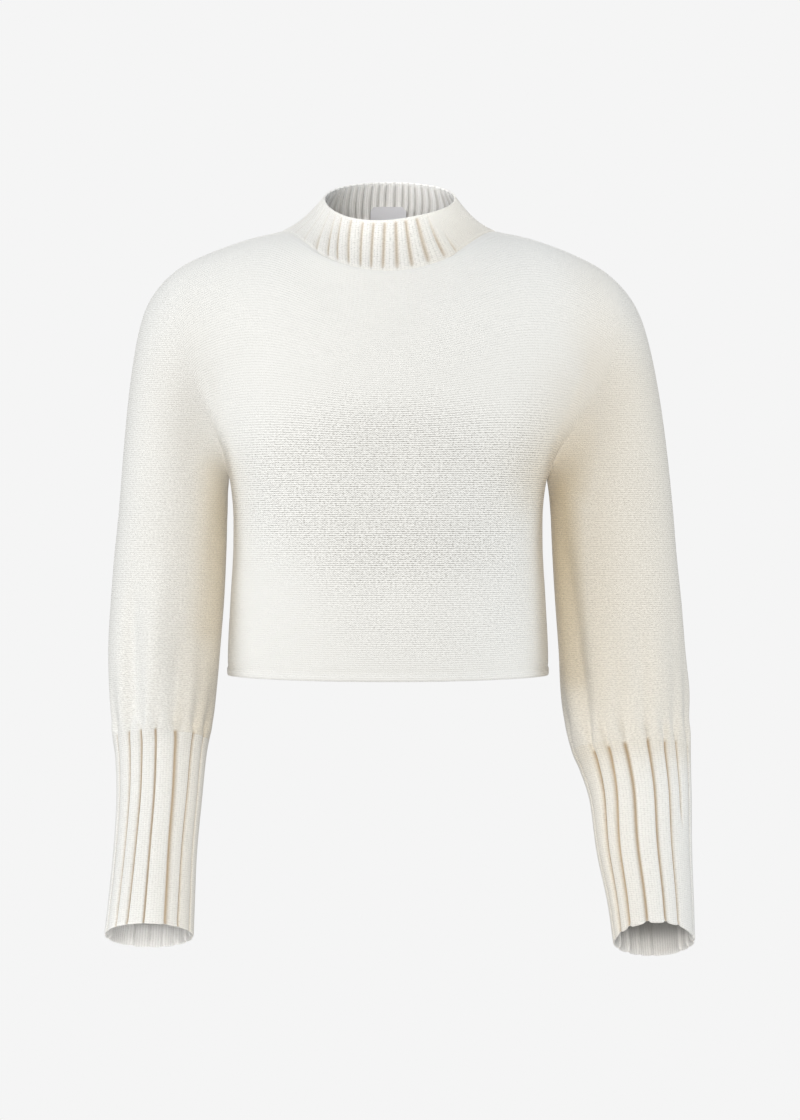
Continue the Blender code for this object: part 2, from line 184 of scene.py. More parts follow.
# Softening of the net across its seams.
SOFT_REACH = 0.030
SOFT_ROUNDS = 70
SOFT_STEP = 0.5
WELD_DIGITS = 6  # points that are the same to so many digits are one
SOFT_NECK = 0.030  # from the front neckline the softening comes in over this distance
NECK_FRONT = (0.088, 0.030)  # how far out the front neckline keeps its place, and how softly that ends
SOFT_UNDERARM = 0.016  # it also takes in the panels this far from the height of the underarms
CREASE_TOP = 0.060  # above the underarm the armhole keeps its crease up to here

# Each piece's fine grid, in steps for each stretch of the net.
PANEL_FINE = (2, 2)
SLEEVE_FINE = (2, 2)
CUFF_FINE = (2, 5)
COLLAR_FINE = (4, 5.5)

# Knitting.
WALE = 0.0024  # one column of stitches
COURSE = 0.00186  # one row
COLLAR_RIBS = 44
RIB_STRETCH = 0.18  # the ribs are wider than on average in front, and as much narrower at the back
# How far towards the neckline they draw together in the middle and fan out over the shoulders: all round,
# and on the left in front.
RIB_FAN = (0.62, 0.06)
RIB_FAN_SECOND = -0.45  # share of the second wave in that
RIB_UNEVEN = ((5, 0.10, 0.4), (9, 0.08, 2.1), (14, 0.06, 4.0))  # waves round, share of a rib, start
WALES_IN_RIB = 4

# Seams: a shallow furrow.
SEAM_DEPTH = 0.0007
SEAM_REACH = 0.0022
SEAM_TOP = (0.15, 0.05)  # above the underarm this share of it is left, after this distance
SEAM_SHOULDER = 0.6  # share of it at the shoulders
SEAM_NECK_SIDES = 2.4  # and at the sides of the neck

# Collar ribs.
RIB_DEPTH = 0.0019
RIB_GROOVE = 0.17  # half width of the groove, as a share of the rib's pitch
RIB_FADE = (0.10, 0.06)  # share of the collar's height over which ribs begin, and end under the rim
# Where the ribs begin to flatten, from 0 in the middle to 1 over the shoulder, at the neckline and at the
# rim, what is left of their depth beyond, and over how far they flatten.
RIB_FLAT = {RIGHT: (0.42, 0.36, 0.32, 0.28), LEFT: (0.43, 0.27, 0.05, 0.15)}
RIB_FLAT_BACK = (0.70, 0.45, 0.28)  # the same behind
RIB_BACK_PACE = 4  # how fast that comes in from the shoulders on
# Half width of a groove's painted shade, as a share of the rib's pitch, at the sides and at its widest; its
# strength.
RIB_TINT = (0.09, 0.16, 0.70)
RIB_TINT_POWER = 1.5  # how much sooner than its depth a flat groove loses its painted shade
RIB_TINT_LOW = (0.45, 0.22)  # what is left of the painted shade at the neckline, and up to where it comes back
RIB_LINE = 0.20  # half width of the lines inside, as a share of the pitch
RIB_TINT_WIDE = (0.275, 0.07)  # where round the collar the grooves' painted shade is widest, and over what share of it

# Cuff grooves. Each runs down the cuff in a line of its own.
# place at the cuff's top and at its rim (as `around` counts), half width, depth, where it ends down the cuff
CUFF_GROOVES = {
    RIGHT: (
        (0.059, 0.055, 0.0010, 0.0024, 1.1),
        (0.116, 0.123, 0.0011, 0.0028, 1.1),
        (0.184, 0.177, 0.0022, 0.0030, 1.1),
        (0.255, 0.258, 0.0012, 0.0028, 1.1),
        (0.307, 0.322, 0.0011, 0.0028, 1.1),
        (0.358, 0.374, 0.0011, 0.0026, 1.1),
        (0.428, 0.436, 0.0012, 0.0026, 1.1),
        (0.487, 0.489, 0.0018, 0.0028, 1.1),
        (0.552, 0.546, 0.0011, 0.0026, 1.1),
        (0.606, 0.612, 0.0012, 0.0028, 0.9),
        (0.671, 0.668, 0.0021, 0.0030, 1.1),
        (0.733, 0.738, 0.0011, 0.0026, 1.1),
        (0.788, 0.792, 0.0012, 0.0028, 1.1),
        (0.851, 0.845, 0.0019, 0.0028, 1.1),
        (0.912, 0.905, 0.0011, 0.0026, 1.1),
        (0.972, 0.968, 0.0012, 0.0026, 1.1),
    ),
    LEFT: (
        (0.022, 0.024, 0.0012, 0.0026, 1.1),
        (0.118, 0.079, 0.0018, 0.0034, 1.1),
        (0.172, 0.133, 0.0018, 0.0030, 1.1),
        (0.221, 0.212, 0.0020, 0.0028, 1.1),
        (0.286, 0.286, 0.0014, 0.0030, 1.1),
        (0.336, 0.343, 0.0011, 0.0028, 1.1),
        (0.379, 0.392, 0.0010, 0.0026, 0.55),
        (0.442, 0.449, 0.0012, 0.0026, 1.1),
        (0.503, 0.500, 0.0017, 0.0028, 1.1),
        (0.561, 0.566, 0.0011, 0.0026, 1.1),
        (0.622, 0.618, 0.0012, 0.0028, 1.1),
        (0.680, 0.687, 0.0021, 0.0030, 0.9),
        (0.741, 0.745, 0.0012, 0.0026, 1.1),
        (0.803, 0.797, 0.0011, 0.0028, 1.1),
        (0.861, 0.853, 0.0018, 0.0028, 1.1),
        (0.930, 0.918, 0.0011, 0.0026, 1.1),
    ),
}
CUFF_GIRTH = 0.235
GROOVE_CORE = 0.70  # width of a groove's painted shade, as a share of the groove's
GROOVE_END = 0.12  # share of the cuff over which a short groove fades out
GATHER_ENDS = (1.0, 0.7, 1.25, 0.85, 0.6, 1.1)  # the gathers' shortness, one after another
# Over how many rows of the sleeve's table a groove fades out above the cuff.
GATHER_REACH = {RIGHT: 2.5, LEFT: 2.9}
GATHER_WIDTH = 0.0064
GATHER_SHARE = 1.5  # how much deeper than the groove a gather is
GATHER_PACE = (2.5, 6, 16)  # how soon above the cuff it is that wide and that deep, and has lost its painted shade
RIDGE_WIDTH, RIDGE_SHARE = 0.0042, 0.32  # half width and share of the dip that rounds a ridge's sides
CUFF_SLANT = {RIGHT: 0.0, LEFT: 0.08}  # how much lower the grooves' painted shade begins on the inner side in front
# It ends at this place round the cuff, comes in over the second share of it, and the painted shade fades in
# over the third share of the cuff's length.
SLANT_END, SLANT_REACH, SLANT_FADE = 0.28, 0.20, 0.04
RIM_WAVE = {RIGHT: 0.0010, LEFT: 0.0026}  # how much lower the rim hangs at the ridges
RIM_WAVE_BACK, RIM_WAVE_PACE = 0.0004, 3  # the same behind, and how fast it changes
RIM_ARCH = {RIGHT: 0.0, LEFT: 0.0045}  # how much the front of a cuff's rim is drawn up
RIM_ARCH_POWER = 1.5
RIM_ROWS = 1.2  # rows of the table over which the rim takes its wave
RIM_FLAT = (0.65, 0.12)  # share of the ribs' depth that is left at the rim, and over how many rows it goes
RIDGE_HEIGHT = 0.0022  # of a ridge over the grooves beside it, at the rim
# How far up inside a cuff the light begins to fade into painted shade, and over what distance.
CUFF_DEPTH = {RIGHT: (0.012, 0.014), LEFT: (0.008, 0.020)}

# Folds of the sleeves: soft troughs (depth below 0) and ridges.
# around at the top and at the bottom, first and last row of the sleeve's table, half width, depth
SLEEVE_FOLDS = {
    RIGHT: (
        (0.345, 0.335, 1.2, 6.0, 0.0085, -0.0062),
        (0.262, 0.270, 0.6, 6.2, 0.0120, 0.0048),
        (0.190, 0.195, 2.2, 6.2, 0.0085, -0.0060),
        (0.090, 0.120, -0.6, 3.6, 0.0140, -0.0022),
        (0.560, 0.540, 0.8, 5.6, 0.0120, -0.0020),
        (0.690, 0.700, 1.6, 6.0, 0.0100, -0.0018),
        (0.840, 0.800, 0.2, 4.4, 0.0130, -0.0022),
        (0.420, 0.405, 3.0, 6.2, 0.0080, -0.0014),
    ),
    LEFT: (
        (0.088, 0.128, -0.4, 5.2, 0.0100, -0.0050),
        (0.165, 0.180, 1.6, 6.2, 0.0110, 0.0018),
        (0.235, 0.240, 3.2, 6.4, 0.0080, -0.0018),
        (0.330, 0.322, 2.4, 6.2, 0.0100, 0.0014),
        (0.395, 0.390, 1.0, 6.0, 0.0090, -0.0014),
        (0.590, 0.570, 0.6, 5.4, 0.0130, -0.0022),
        (0.720, 0.735, 1.8, 6.2, 0.0100, -0.0018),
        (0.860, 0.825, 0.0, 4.2, 0.0140, -0.0024),
    ),
}

# At both ends, how fast a fold comes in, and how much of it is there at once.
SLEEVE_FOLD_ENDS = ((2.5, 0), (3, 0.35))
TORSO_FOLD_ENDS = ((3, 0.2), (3, 0.2))

# Soft folds of the torso, as torso() counts.
# across and level at the start and at the end, half width, depth
TORSO_FOLDS = {
    FRONT: (
        (-0.62, -0.55, -0.48, 0.42, 0.0300, 0.0022),
        (0.60, -0.60, 0.50, 0.40, 0.0300, 0.0022),
        (-0.02, -0.70, 0.02, 0.30, 0.0260, -0.0016),
        (-0.93, 0.02, -0.72, 0.40, 0.0130, -0.0018),
        (0.93, 0.02, 0.74, 0.46, 0.0150, -0.0026),
        (-0.80, -0.95, -0.84, -0.20, 0.0200, -0.0012),
        (0.82, -0.95, 0.86, -0.15, 0.0180, -0.0014),
    ),
    BACK: (
        (-0.45, -0.80, -0.40, 0.30, 0.0280, -0.0020),
        (0.48, -0.75, 0.42, 0.35, 0.0300, -0.0022),
        (-0.92, 0.04, -0.62, 0.42, 0.0160, -0.0026),
        (0.92, 0.04, 0.60, 0.44, 0.0150, -0.0028),
        (0.02, -0.90, 0.00, -0.10, 0.0340, 0.0018),
    ),
}
FOLDS_FADE = (0.02, 0.03)  # they come in over these distances from the side seams and from the top
HEM_EDGE, HEM_FULLNESS, HEM_STEP = 0.0040, 0.0006, 0.001  # the linked edge at the hem
HEM_DENT = (0.0015, 0.0014)  # how far above it the dent lies, and its half width
HEM_CORNER = (0.0045, 0.016, 0.030)  # the hem's rise at the side seams, over what width and what height
SLEEVE_GIRTH = 0.300
PANEL_REACH, PANEL_RISE = 0.200, 0.190  # of a panel, for each step of across and level

# The label.
LABEL_COLUMNS, LABEL_STEPS = 12, 24

# ---------------------------------------------------------------- colours, light and camera

IVORY = (0.945, 0.938, 0.912)
IVORY_DEEP = (0.450, 0.438, 0.416)  # between the stitches
MEAN_SHADE, MEAN_SHADE_RIB = 0.15, 0.05  # how much of that colour the cloth has on the whole; the ribs' smaller share is painted light
CLEAR_SHADE = 0.08  # painted shade: more of it where the stitches stand out
FLECK = (0.0021, 0.0013)  # size of the yarn's flecks, across and along the stitches
GRAIN, GRAIN_HEIGHT = 3.1, 0.3  # their strength, and their share in the relief
CLOUD, CLOUD_SCALE = 0.05, 14  # strength and number in a metre of the clouds in its tone
MEAN_HEIGHT, MEAN_HEIGHT_RIB = 0.745, 0.62
LEG_SHARE = 0.12  # how much of the relief lies across the stitches
LEG_SHARE_RIB = 0.9
# How clearly stitches stand out. The more they do, the more painted shade the cloth gets.
CLEAR_CHEST = 0.03
# x, z, reach across and in height, and how much
CLEAR_SPOTS = (
    (0.005, -0.240, 0.205, 0.106, 1.00),
    (0.050, -0.335, 0.160, 0.080, 0.42),
    (0.130, -0.200, 0.030, 0.070, 0.30),
)
CLEAR_PACE = 1.65  # how fast they come in
CLEAR_BACK = 0.5
CLEAR_SLEEVE, FLECK_SLEEVE = 0.15, 0.36
CLEAR_RIB = 0.25
CLEAR_COLLAR = 0.45
CLEAR_FLAT = 0.3  # of that, where the ribs are flat
GROOVE_SHADE = (0.470, 0.345, 0.205)  # painted shade in the ribs' grooves
# The lining, paler than the outside so that the dim insides of the collar and cuffs look lit: painted light.
INSIDE = (0.985, 0.985, 0.975)
INSIDE_DEEP = (0.780, 0.775, 0.765)
# Painted shade deep inside the cuffs.
INSIDE_PAINTED_SHADE = (0.470, 0.465, 0.455)
INSIDE_LINE = (0.640, 0.630, 0.615)  # where a groove of the ribs shows through
PAINTED_WARM_LIGHT = (0.920, 0.872, 0.788)  # painted light: the yarn where the light is warmest
PAINTED_COOL_LIGHT = (0.990, 1.0, 1.006)  # and where it is coolest, also painted light
# Towards the sleeves the painted light turns warmer between these distances from the middle: how warm on each
# side.
WARM_REACH = (0.140, 0.195)
WARM_SHARE = {RIGHT: 0.12, LEFT: 0.72}
WARM_TOP = (-0.150, 0.090, 0.45)  # from this height up, over this distance, only this share is left
# Bands of painted warm shade by the armholes: x and z at both ends, half width, how warm at both ends.
PAINTED_SHADE_BANDS = (
    (0.180, -0.168, 0.152, -0.228, 0.040, 0.75, 1.25),
    (0.152, -0.228, 0.166, -0.400, 0.024, 1.35, 0.75),
    (-0.152, -0.225, -0.162, -0.360, 0.018, 0.60, 0.40),
)
# More painted warm shade on a sleeve's inner side: how much, where round it and how wide.
WARM_INNER = {RIGHT: (1.15, 0.045, 0.125), LEFT: (1.00, 0.045, 0.130)}
WARM_LOW = {RIGHT: 1.15, LEFT: 0.40}  # times that just above the cuffs
WARM_LOW_ROWS = (3.5, 2.5)  # from which row it changes to that, and over how many
WARM_CUFF_INNER = 0.6  # times that on the cuffs
WARM_CUFF = {RIGHT: 0.9, LEFT: 0.2}  # times all other warmth there
WARM_CUFF_ROWS = 2  # over how many rows it changes to that
# Painted warm light on the collar, on the right and on the left.
WARM_COLLAR = {RIGHT: 0.22, LEFT: 0.70}
WARM_COLLAR_REACH = (0.01, 0.07)  # it changes from here on towards the left, over this distance
PAINTED_WARM_SHADE = (0.760, 0.660, 0.500)  # painted shade: the yarn where only light from the cloth beside it comes in
# Painted light: the panels are as pale as the ribs towards the side seams, over the first distance, up to
# the underarm and the second distance above it. The cuffs come to it over so many rows.
PALE_SIDE = (0.030, 0.030)
PALE_ROWS = 1.5
STITCH_HEIGHT = 0.0003
STITCH_SHADE = 1.5
STITCH_ROUND, LEG_ROUND = 0.5, 0.6
LEG_START = 0.25  # where in its bow a leg begins in the middle of its stitch
# How much of the painted shade shows in the grooves.
GROOVE_SHADE_SHARE = 0.85
WANDER, WANDER_SCALE = 0.35, 160  # how far stitches stray, in stitches, and how often in a metre
LEG_LEAN = 0.22
PURL_BEADS, LINING_BARS = 0.4, 0.3  # how much columns show in purl, and rows in the ribs' backs
LABEL_GREY = (0.76, 0.76, 0.80)
LABEL_DARK = 0.88  # between the threads
WARP, WEFT, WEFT_SHARE, WEAVE_HEIGHT = 0.0005, 0.0009, 0.4, 0.00006
WOOL = {
    "Roughness": 0.92,
    "Specular IOR Level": 0.2,
    "Sheen Weight": 0.60,
    "Sheen Roughness": 0.45,
    "Sheen Tint": (1, 0.98, 0.94),
}
SATIN = {"Roughness": 0.45, "Sheen Weight": 0.1}
MARKS = ("groove", "clear", "fleck", "inside", "deep", "line", "painted_light", "painted_warmth")  # what the meshes' points say
PALE = (0.913, 0.913, 0.913)  # the floor and the backdrop

CAMERA_PLACE = (0.0109, -2.406, -0.302)
CAMERA_LENS = 85
FLOOR_DROP = 0.16
FLOOR_RADIUS, FLOOR_SIDES = 60, 64
AMBIENT = (0.265, 0.267, 0.270)
# name, place, target, angle of the cone, power
SPOTS = (
    ("neck", (-0.32, -1.05, 0.30), (0.024, 0.045, 0.022), math.radians(8), 24.5),
    ("cuff", (-0.24, -1.50, -1.05), (-0.212, -0.055, -0.640), math.radians(4), 27.0),
)
SPOT_SIZE = 0.03
# name, place, size, colour, power
LIGHTS = (
    ("left_side", (-2.85, -0.77, 0.22), 1.6, (0.94, 0.97, 1.00), 40.2),
    ("front", (0.0, -2.95, 0.22), 1.8, (1.00, 0.95, 0.87), 38.5),
    ("right_side", (2.91, -0.62, 0.12), 1.6, (0.86, 0.93, 1.00), 31.0),
    ("top", (0.0, -1.03, 2.52), 1.8, (0.88, 0.93, 1.00), 20.0),
    ("back", (0.0, 3.05, 0.70), 1.8, (1.00, 0.98, 0.95), 24.0),
    ("below", (0.0, -2.12, -2.42), 1.8, (1.00, 0.97, 0.92), 19.0),
)


# ================================================================ form

def unit(vectors):
    """The same directions, each of length 1."""
    return vectors / np.maximum(np.linalg.norm(vectors, axis=-1, keepdims=True), 1e-12)


def xyz(x, y, z):
    """Points from their coordinates."""
    return np.stack([x, y, z], axis=-1)


def mix(a, b, share):
    """a where share is 0, b where it is 1."""
    return a + (b - a) * share


def ease(x):
    """A soft step from 0 to 1."""
    x = np.clip(x, 0, 1)
    return x * x * (3 - 2 * x)


def hill(distance, half_width):
    """1 at distance 0, falling to nothing at about twice the half width."""
    return np.exp(-((distance / half_width) ** 2))


def read(table, column, at):
    """A smooth curve through one column of a table, against its first column."""
    rows = np.array(sorted(table), float)
    places, values = rows[:, 0], rows[:, column]
    slopes = np.gradient(values, places)
    at = np.clip(at, places[0], places[-1])
    i = np.clip(np.searchsorted(places, at) - 1, 0, len(places) - 2)
    step = places[i + 1] - places[i]
    t = (at - places[i]) / step
    rest = 1 - t
    return (
        values[i] * rest**2 * (1 + 2 * t)
        + values[i + 1] * t**2 * (3 - 2 * t)
        + step * (slopes[i] * t * rest**2 - slopes[i + 1] * t**2 * rest)
    )


def height_share(rise):
    """How high a row of the upper body is: it levels out towards the shoulder seam."""
    return rise + rise**2 - rise**3


def armhole(side, face, rise):
    """The armhole from the underarm (rise 0) over the front or the back to the shoulder tip (rise 1)."""
    rise = np.asarray(rise, float)
    share = height_share(rise)
    reach = read(ARMHOLES, 1 if side == RIGHT else 2, mix(UNDERARM_HEIGHT, ARMHOLES[-1][0], share))
    height = mix(UNDERARM_HEIGHT, SHOULDER_TIP_HEIGHT[side], share)
    return xyz(side * reach, face * ARMHOLE_BOW[face] * np.sin(math.pi * rise), height)


def neckline(face, across):
    """The neckline of the front or back, from the right side neck point (across -1) to the left (1)."""
    turn = across * math.pi / 2
    y, height = TORSO_MIDDLE[face][-1][::-1]
    dip = np.abs(np.cos(turn)) ** NECK_POWER
    return xyz(NECK_HALF_WIDTH * np.sin(turn), y * np.cos(turn), mix(NECK_SIDE_HEIGHT, height, dip))


def top_edge(face, across):
    """A panel's top edge: the shoulder seams, and the neckline between them (across -0.5 to 0.5)."""
    tip = np.where(across[..., None] < 0, armhole(RIGHT, FRONT, 1), armhole(LEFT, FRONT, 1))
    power = np.where(across < 0, SHOULDER_POWER[RIGHT], SHOULDER_POWER[LEFT])
    out = np.clip(2 * np.abs(across) - 1, 0, 1)
    x = mix(np.sign(across) * NECK_HALF_WIDTH, tip[..., 0], out)
    seam = xyz(x, np.zeros_like(across), mix(NECK_SIDE_HEIGHT, tip[..., 2], out**power))
    return np.where(np.abs(across)[..., None] > 0.5, seam, neckline(face, np.clip(2 * across, -1, 1)))


def level_row(face, across, rise):
    """A row of knitting from armhole to armhole, were the panel not bent over the shoulders."""
    middle_height = mix(UNDERARM_HEIGHT, TORSO_MIDDLE[face][-1][0], height_share(rise))
    middle_y = read(TORSO_MIDDLE[face], 1, middle_height)
    right, left = armhole(RIGHT, face, rise), armhole(LEFT, face, rise)
    end = np.where(across[..., None] < 0, right, left)
    sine = np.sin(across * math.pi / 2)
    round_power = mix(ROUND_POWER, 1.0, ease(rise / OPENING_RISE))
    fullness = np.clip(1 - np.abs(sine) ** SECTION_POWER, 0, 1) ** round_power
    return xyz(
        np.abs(end[..., 0]) * sine,
        mix(end[..., 1], middle_y, fullness),
        mix(end[..., 2], middle_height, 1 - sine**2),
    )


def torso(face, across, level):
    """The outer face of the front or back. across runs from -1 at the wearer's right side to 1 at the
    left; level from -1 at the hem through 0 at the underarm to 1 at the shoulder seams and neckline."""
    across, level = np.broadcast_arrays(np.asarray(across, float), np.asarray(level, float))
    sine = np.sin(across * math.pi / 2)
    height = mix(UNDERARM_HEIGHT, HEM_HEIGHT, np.clip(-level, 0, 1))
    fullness = np.clip(1 - np.abs(sine) ** SECTION_POWER, 0, 1) ** ROUND_POWER
    dip = HEM_DIP * (1 - sine**2) * ease(-level) if face == FRONT else 0
    y = read(TORSO_MIDDLE[face], 1, height) * fullness
    lower = xyz(read(TORSO_SIDES, 1, height) * sine, y, height - dip)
    rise = np.clip(level, 0, 1)
    sideways, deep = SHOULDER_PACE
    pace = xyz(rise**sideways, rise**deep, np.sin(math.pi / 2 * rise) ** 2)
    bend = top_edge(face, across) - level_row(face, across, np.ones_like(rise))
    corner = np.where(across < 0, -0.5, 0.5)
    corner_bend = top_edge(face, corner) - level_row(face, corner, np.ones_like(rise))
    soft_bend = corner_bend * (np.sin(math.pi * across) ** 2)[..., None]
    upper = level_row(face, across, rise) + pace * mix(soft_bend, bend, ease(2 * rise - 1)[..., None])
    return np.where(level[..., None] < 0, lower, upper)


def section(side, around, row):
    """A point on a sleeve's section. around runs from 0 at the body over the front (0.25) and the outer
    side (0.5) to the back (0.75). row counts through the table, with parts of a row between."""
    table = [(i, *values) for i, values in enumerate(SLEEVES[side])]
    height, inner, outer, y, depth, tilt = (read(table, c, row) for c in range(1, 7))
    turn, tilt = around * 2 * math.pi, np.radians(tilt)
    forward = depth * np.sin(turn)
    x = side * (mix(inner, outer, 0.5) - (outer - inner) / 2 * np.cos(turn))
    return xyz(x, y - forward * np.cos(tilt), height + forward * np.sin(tilt))


def cap(side, around, share):
    """The sleeve from the armhole (share 0) to its first whole section (share 1)."""
    front = around <= 0.5
    rise = np.where(front, 2 * around, 2 - 2 * around)
    start = np.where(front[..., None], armhole(side, FRONT, rise), armhole(side, BACK, rise))
    end = section(side, around, np.zeros_like(around))
    turn = around * 2 * math.pi
    outward = (1 - np.cos(turn)) / 2
    slope = mix(CAP_SLOPE_BOTTOM, CAP_SLOPE_TOP, outward**CAP_SLOPE_POWER)
    leave = unit(xyz(side * np.cos(slope), CAP_DRAW_IN * np.sin(turn), -np.sin(slope)))
    arrive = unit(np.array([side * UPPER_ARM_LEAN, 0.0, -1.0]))
    length = np.linalg.norm(end - start, axis=-1, keepdims=True)
    fullness = mix(CAP_FULLNESS_BOTTOM, CAP_FULLNESS_TOP, outward)[..., None]
    t = np.asarray(share)[..., None]
    rest = 1 - t
    return (
        start * rest**2 * (1 + 2 * t)
        + end * t**2 * (3 - 2 * t)
        + length * fullness * leave * t * rest**2
        - length * CAP_FULLNESS_BOTTOM * arrive * t**2 * rest
    )


def sleeve(side, around, along):
    """The sleeve's outer face: along runs from -1 at the armhole through 0 at the first whole section,
    and then counts the table's rows."""
    around, along = np.broadcast_arrays(np.asarray(around, float), np.asarray(along, float))
    return np.where(
        along[..., None] < 0,
        cap(side, around, np.clip(along + 1, 0, 1)),
        section(side, around, np.clip(along, 0, None)),
    )


def collar(around, up):
    """The collar's outer face: around runs from 0 at the right side neck point over the front (0.25) to
    the left (0.5) and the back (0.75); up from 0 at the neckline to 1 at the rim."""
    around, up = np.broadcast_arrays(np.asarray(around, float), np.asarray(up, float))
    front = around <= 0.5
    across = np.where(front, 4 * around - 1, 3 - 4 * around)
    base = np.where(front[..., None], neckline(FRONT, across), neckline(BACK, across))
    turn = around * 2 * math.pi
    forward = RIM_HALF_DEPTH * np.sin(turn)
    twist = RIM_FRONT_TWIST * np.sin(2 * turn) * np.clip(np.sin(turn), 0, 1)
    rim = xyz(
        RIM_MIDDLE[0] - RIM_HALF_WIDTH * np.cos(turn),
        RIM_MIDDLE[1] - forward * math.cos(RIM_LEAN),
        RIM_MIDDLE[2] - forward * math.sin(RIM_LEAN) + RIM_SIDE_RISE * np.cos(turn) ** 2 - twist,
    )
    sag = mix(COLLAR_SAG["side"], COLLAR_SAG["middle"], np.abs(np.sin(turn)))
    t = up[..., None]
    straight = mix(base, rim, t)
    straight[..., 2] -= 2 * sag * up * (1 - up)
    return straight


# ================================================================ net

class Piece:
    """A piece of the cut: its part of the net, as rows and columns of points, and what its rows and
    columns count. A ring's last column joins its first. facing is 1 where columns crossed with rows point
    out of the garment, or else -1."""

    def __init__(self, form, rows, columns, facing, ring=False):
        self.rows, self.columns, self.facing, self.ring = rows, columns, facing, ring
        self.points = form(columns, rows[:, None])
        self.normals = None


def quads(numbers, ring=False):
    """The corners of each face of a grid of point numbers."""
    if ring:
        numbers = closed(numbers)
    corners = numbers[:-1, :-1], numbers[:-1, 1:], numbers[1:, 1:], numbers[1:, :-1]
    return np.stack(corners, axis=-1).reshape(-1, 4)


def closed(values):
    """A ring's values, with the first column once more at its end."""
    return np.concatenate([values, values[:, :1]], axis=1)


def steps(start, end, count):
    return np.linspace(start, end, count + 1)


def cut_net():
    """All pieces of the cut, on one net."""
    across = steps(-1, 1, PANEL_COLUMNS)
    levels = np.r_[steps(-1, 0, LOWER_ROWS), steps(0, 1, UPPER_ROWS)[1:]]
    down = np.r_[steps(-1, 0, CAP_ROWS), steps(0, CUFF_SEAM_ROW, SLEEVE_ROWS)[1:]]
    cuff_down = steps(CUFF_SEAM_ROW, CUFF_END_ROW, CUFF_ROWS)
    around, around_neck = np.arange(RING) / RING, np.arange(PANEL_COLUMNS) / PANEL_COLUMNS
    pieces = {
        "front": Piece(partial(torso, FRONT), levels, across, 1),
        "back": Piece(partial(torso, BACK), levels, across, -1),
        "collar": Piece(collar, steps(0, 1, COLLAR_ROWS), around_neck, 1, ring=True),
    }
    for side, name in ((RIGHT, "right"), (LEFT, "left")):
        form = partial(sleeve, side)
        pieces[f"sleeve_{name}"] = Piece(form, down, around, -side, ring=True)
        pieces[f"cuff_{name}"] = Piece(form, cuff_down, around, -side, ring=True)
    return pieces


def softness(points, grids):
    """How freely each point of the net moves while it is softened."""

    def to_seam(seam):
        return np.min([np.linalg.norm(points - points[number], axis=1) for number in seam], axis=0)

    front, back, neck = grids["front"], grids["back"], grids["collar"]
    seams = [front[-1], grids["sleeve_right"][0], grids["sleeve_left"][0]]
    above = (points[:, 2] - UNDERARM_HEIGHT) / CREASE_TOP
    in_front = ease((NECK_FRONT[0] - np.abs(points[:, 0])) / NECK_FRONT[1])
    kept = mix(1, ease(to_seam(neck[0]) / SOFT_NECK), in_front)
    shape = hill(to_seam(np.unique(np.concatenate(seams))), SOFT_REACH) * ease(above) * kept
    panels = np.unique(np.concatenate([front.ravel(), back.ravel()]))
    shape[panels] = np.maximum(shape[panels], hill(points[panels, 2] - UNDERARM_HEIGHT, SOFT_UNDERARM))
    for edge in (front[0], back[0], neck[-1], grids["cuff_right"][-1], grids["cuff_left"][-1]):
        shape[edge] = 0
    shape[front[LOWER_ROWS, [0, -1]]] = 0
    return shape


def soften(pieces):
    """Welds the net along its seams, rounds the form across them and gives each point a normal."""
    shapes = [piece.points.shape[:2] for piece in pieces.values()]
    loose = np.concatenate([piece.points.reshape(-1, 3) for piece in pieces.values()])
    places = np.round(loose, WELD_DIGITS) + 0.0  # which turns -0.0 into 0.0
    _, first, number = np.unique(places, axis=0, return_index=True, return_inverse=True)
    points = loose[first]
    parts = np.split(number.reshape(-1), np.cumsum([rows * columns for rows, columns in shapes])[:-1])
    grids = {name: part.reshape(shape) for name, part, shape in zip(pieces, parts, shapes)}
    faces = [quads(grids[name], piece.ring) for name, piece in pieces.items()]
    facing = np.repeat([piece.facing for piece in pieces.values()], [len(part) for part in faces])
    faces = np.concatenate(faces)
    edges = np.concatenate([faces[:, [k, (k + 1) % 4]] for k in range(4)])
    edges = np.unique(np.sort(edges, axis=1), axis=0)
    uses = np.bincount(edges.ravel(), minlength=len(points))

    weight = softness(points, grids)[:, None] * SOFT_STEP
    for _ in range(SOFT_ROUNDS):
        total = np.zeros_like(points)
        np.add.at(total, edges[:, 0], points[edges[:, 1]])
        np.add.at(total, edges[:, 1], points[edges[:, 0]])
        points = mix(points, total / uses[:, None], weight)

    normals = np.zeros_like(points)
    a, b, c, d = (points[faces[:, k]] for k in range(4))
    face_normals = np.cross(c - a, d - b) * facing[:, None]
    for k in range(4):
        np.add.at(normals, faces[:, k], face_normals)
    normals[grids["front"][LOWER_ROWS, [0, -1]]] = UNDERARM_NORMAL
    normals = unit(normals)
    for name, piece in pieces.items():
        piece.points, piece.normals = points[grids[name]], normals[grids[name]]


def between(grid, at, ring):
    """The grid's rows at fractional places, on smooth curves through them."""
    count = len(grid)
    if ring:
        i = np.floor(at).astype(int)
        picked = [grid[(i + k) % count] for k in (-1, 0, 1, 2)]
    else:
        padded = np.concatenate([2 * grid[:1] - grid[1:2], grid, 2 * grid[-1:] - grid[-2:-1]])
        i = np.clip(np.floor(at).astype(int), 0, count - 2)
        picked = [padded[i + k] for k in (0, 1, 2, 3)]
    t = (at - i).reshape((-1,) + (1,) * (grid.ndim - 1))
    p0, p1, p2, p3 = picked
    return p1 + t / 2 * (p2 - p0 + t * (2 * p0 - 5 * p1 + 4 * p2 - p3 + t * (3 * (p1 - p2) + p3 - p0)))


def resample(grid, rows, columns, ring):
    """A grid at fractional rows and columns."""
    tall = between(grid, rows, False)
    return np.swapaxes(between(np.swapaxes(tall, 0, 1), columns, ring), 0, 1)


# ================================================================ fine shells

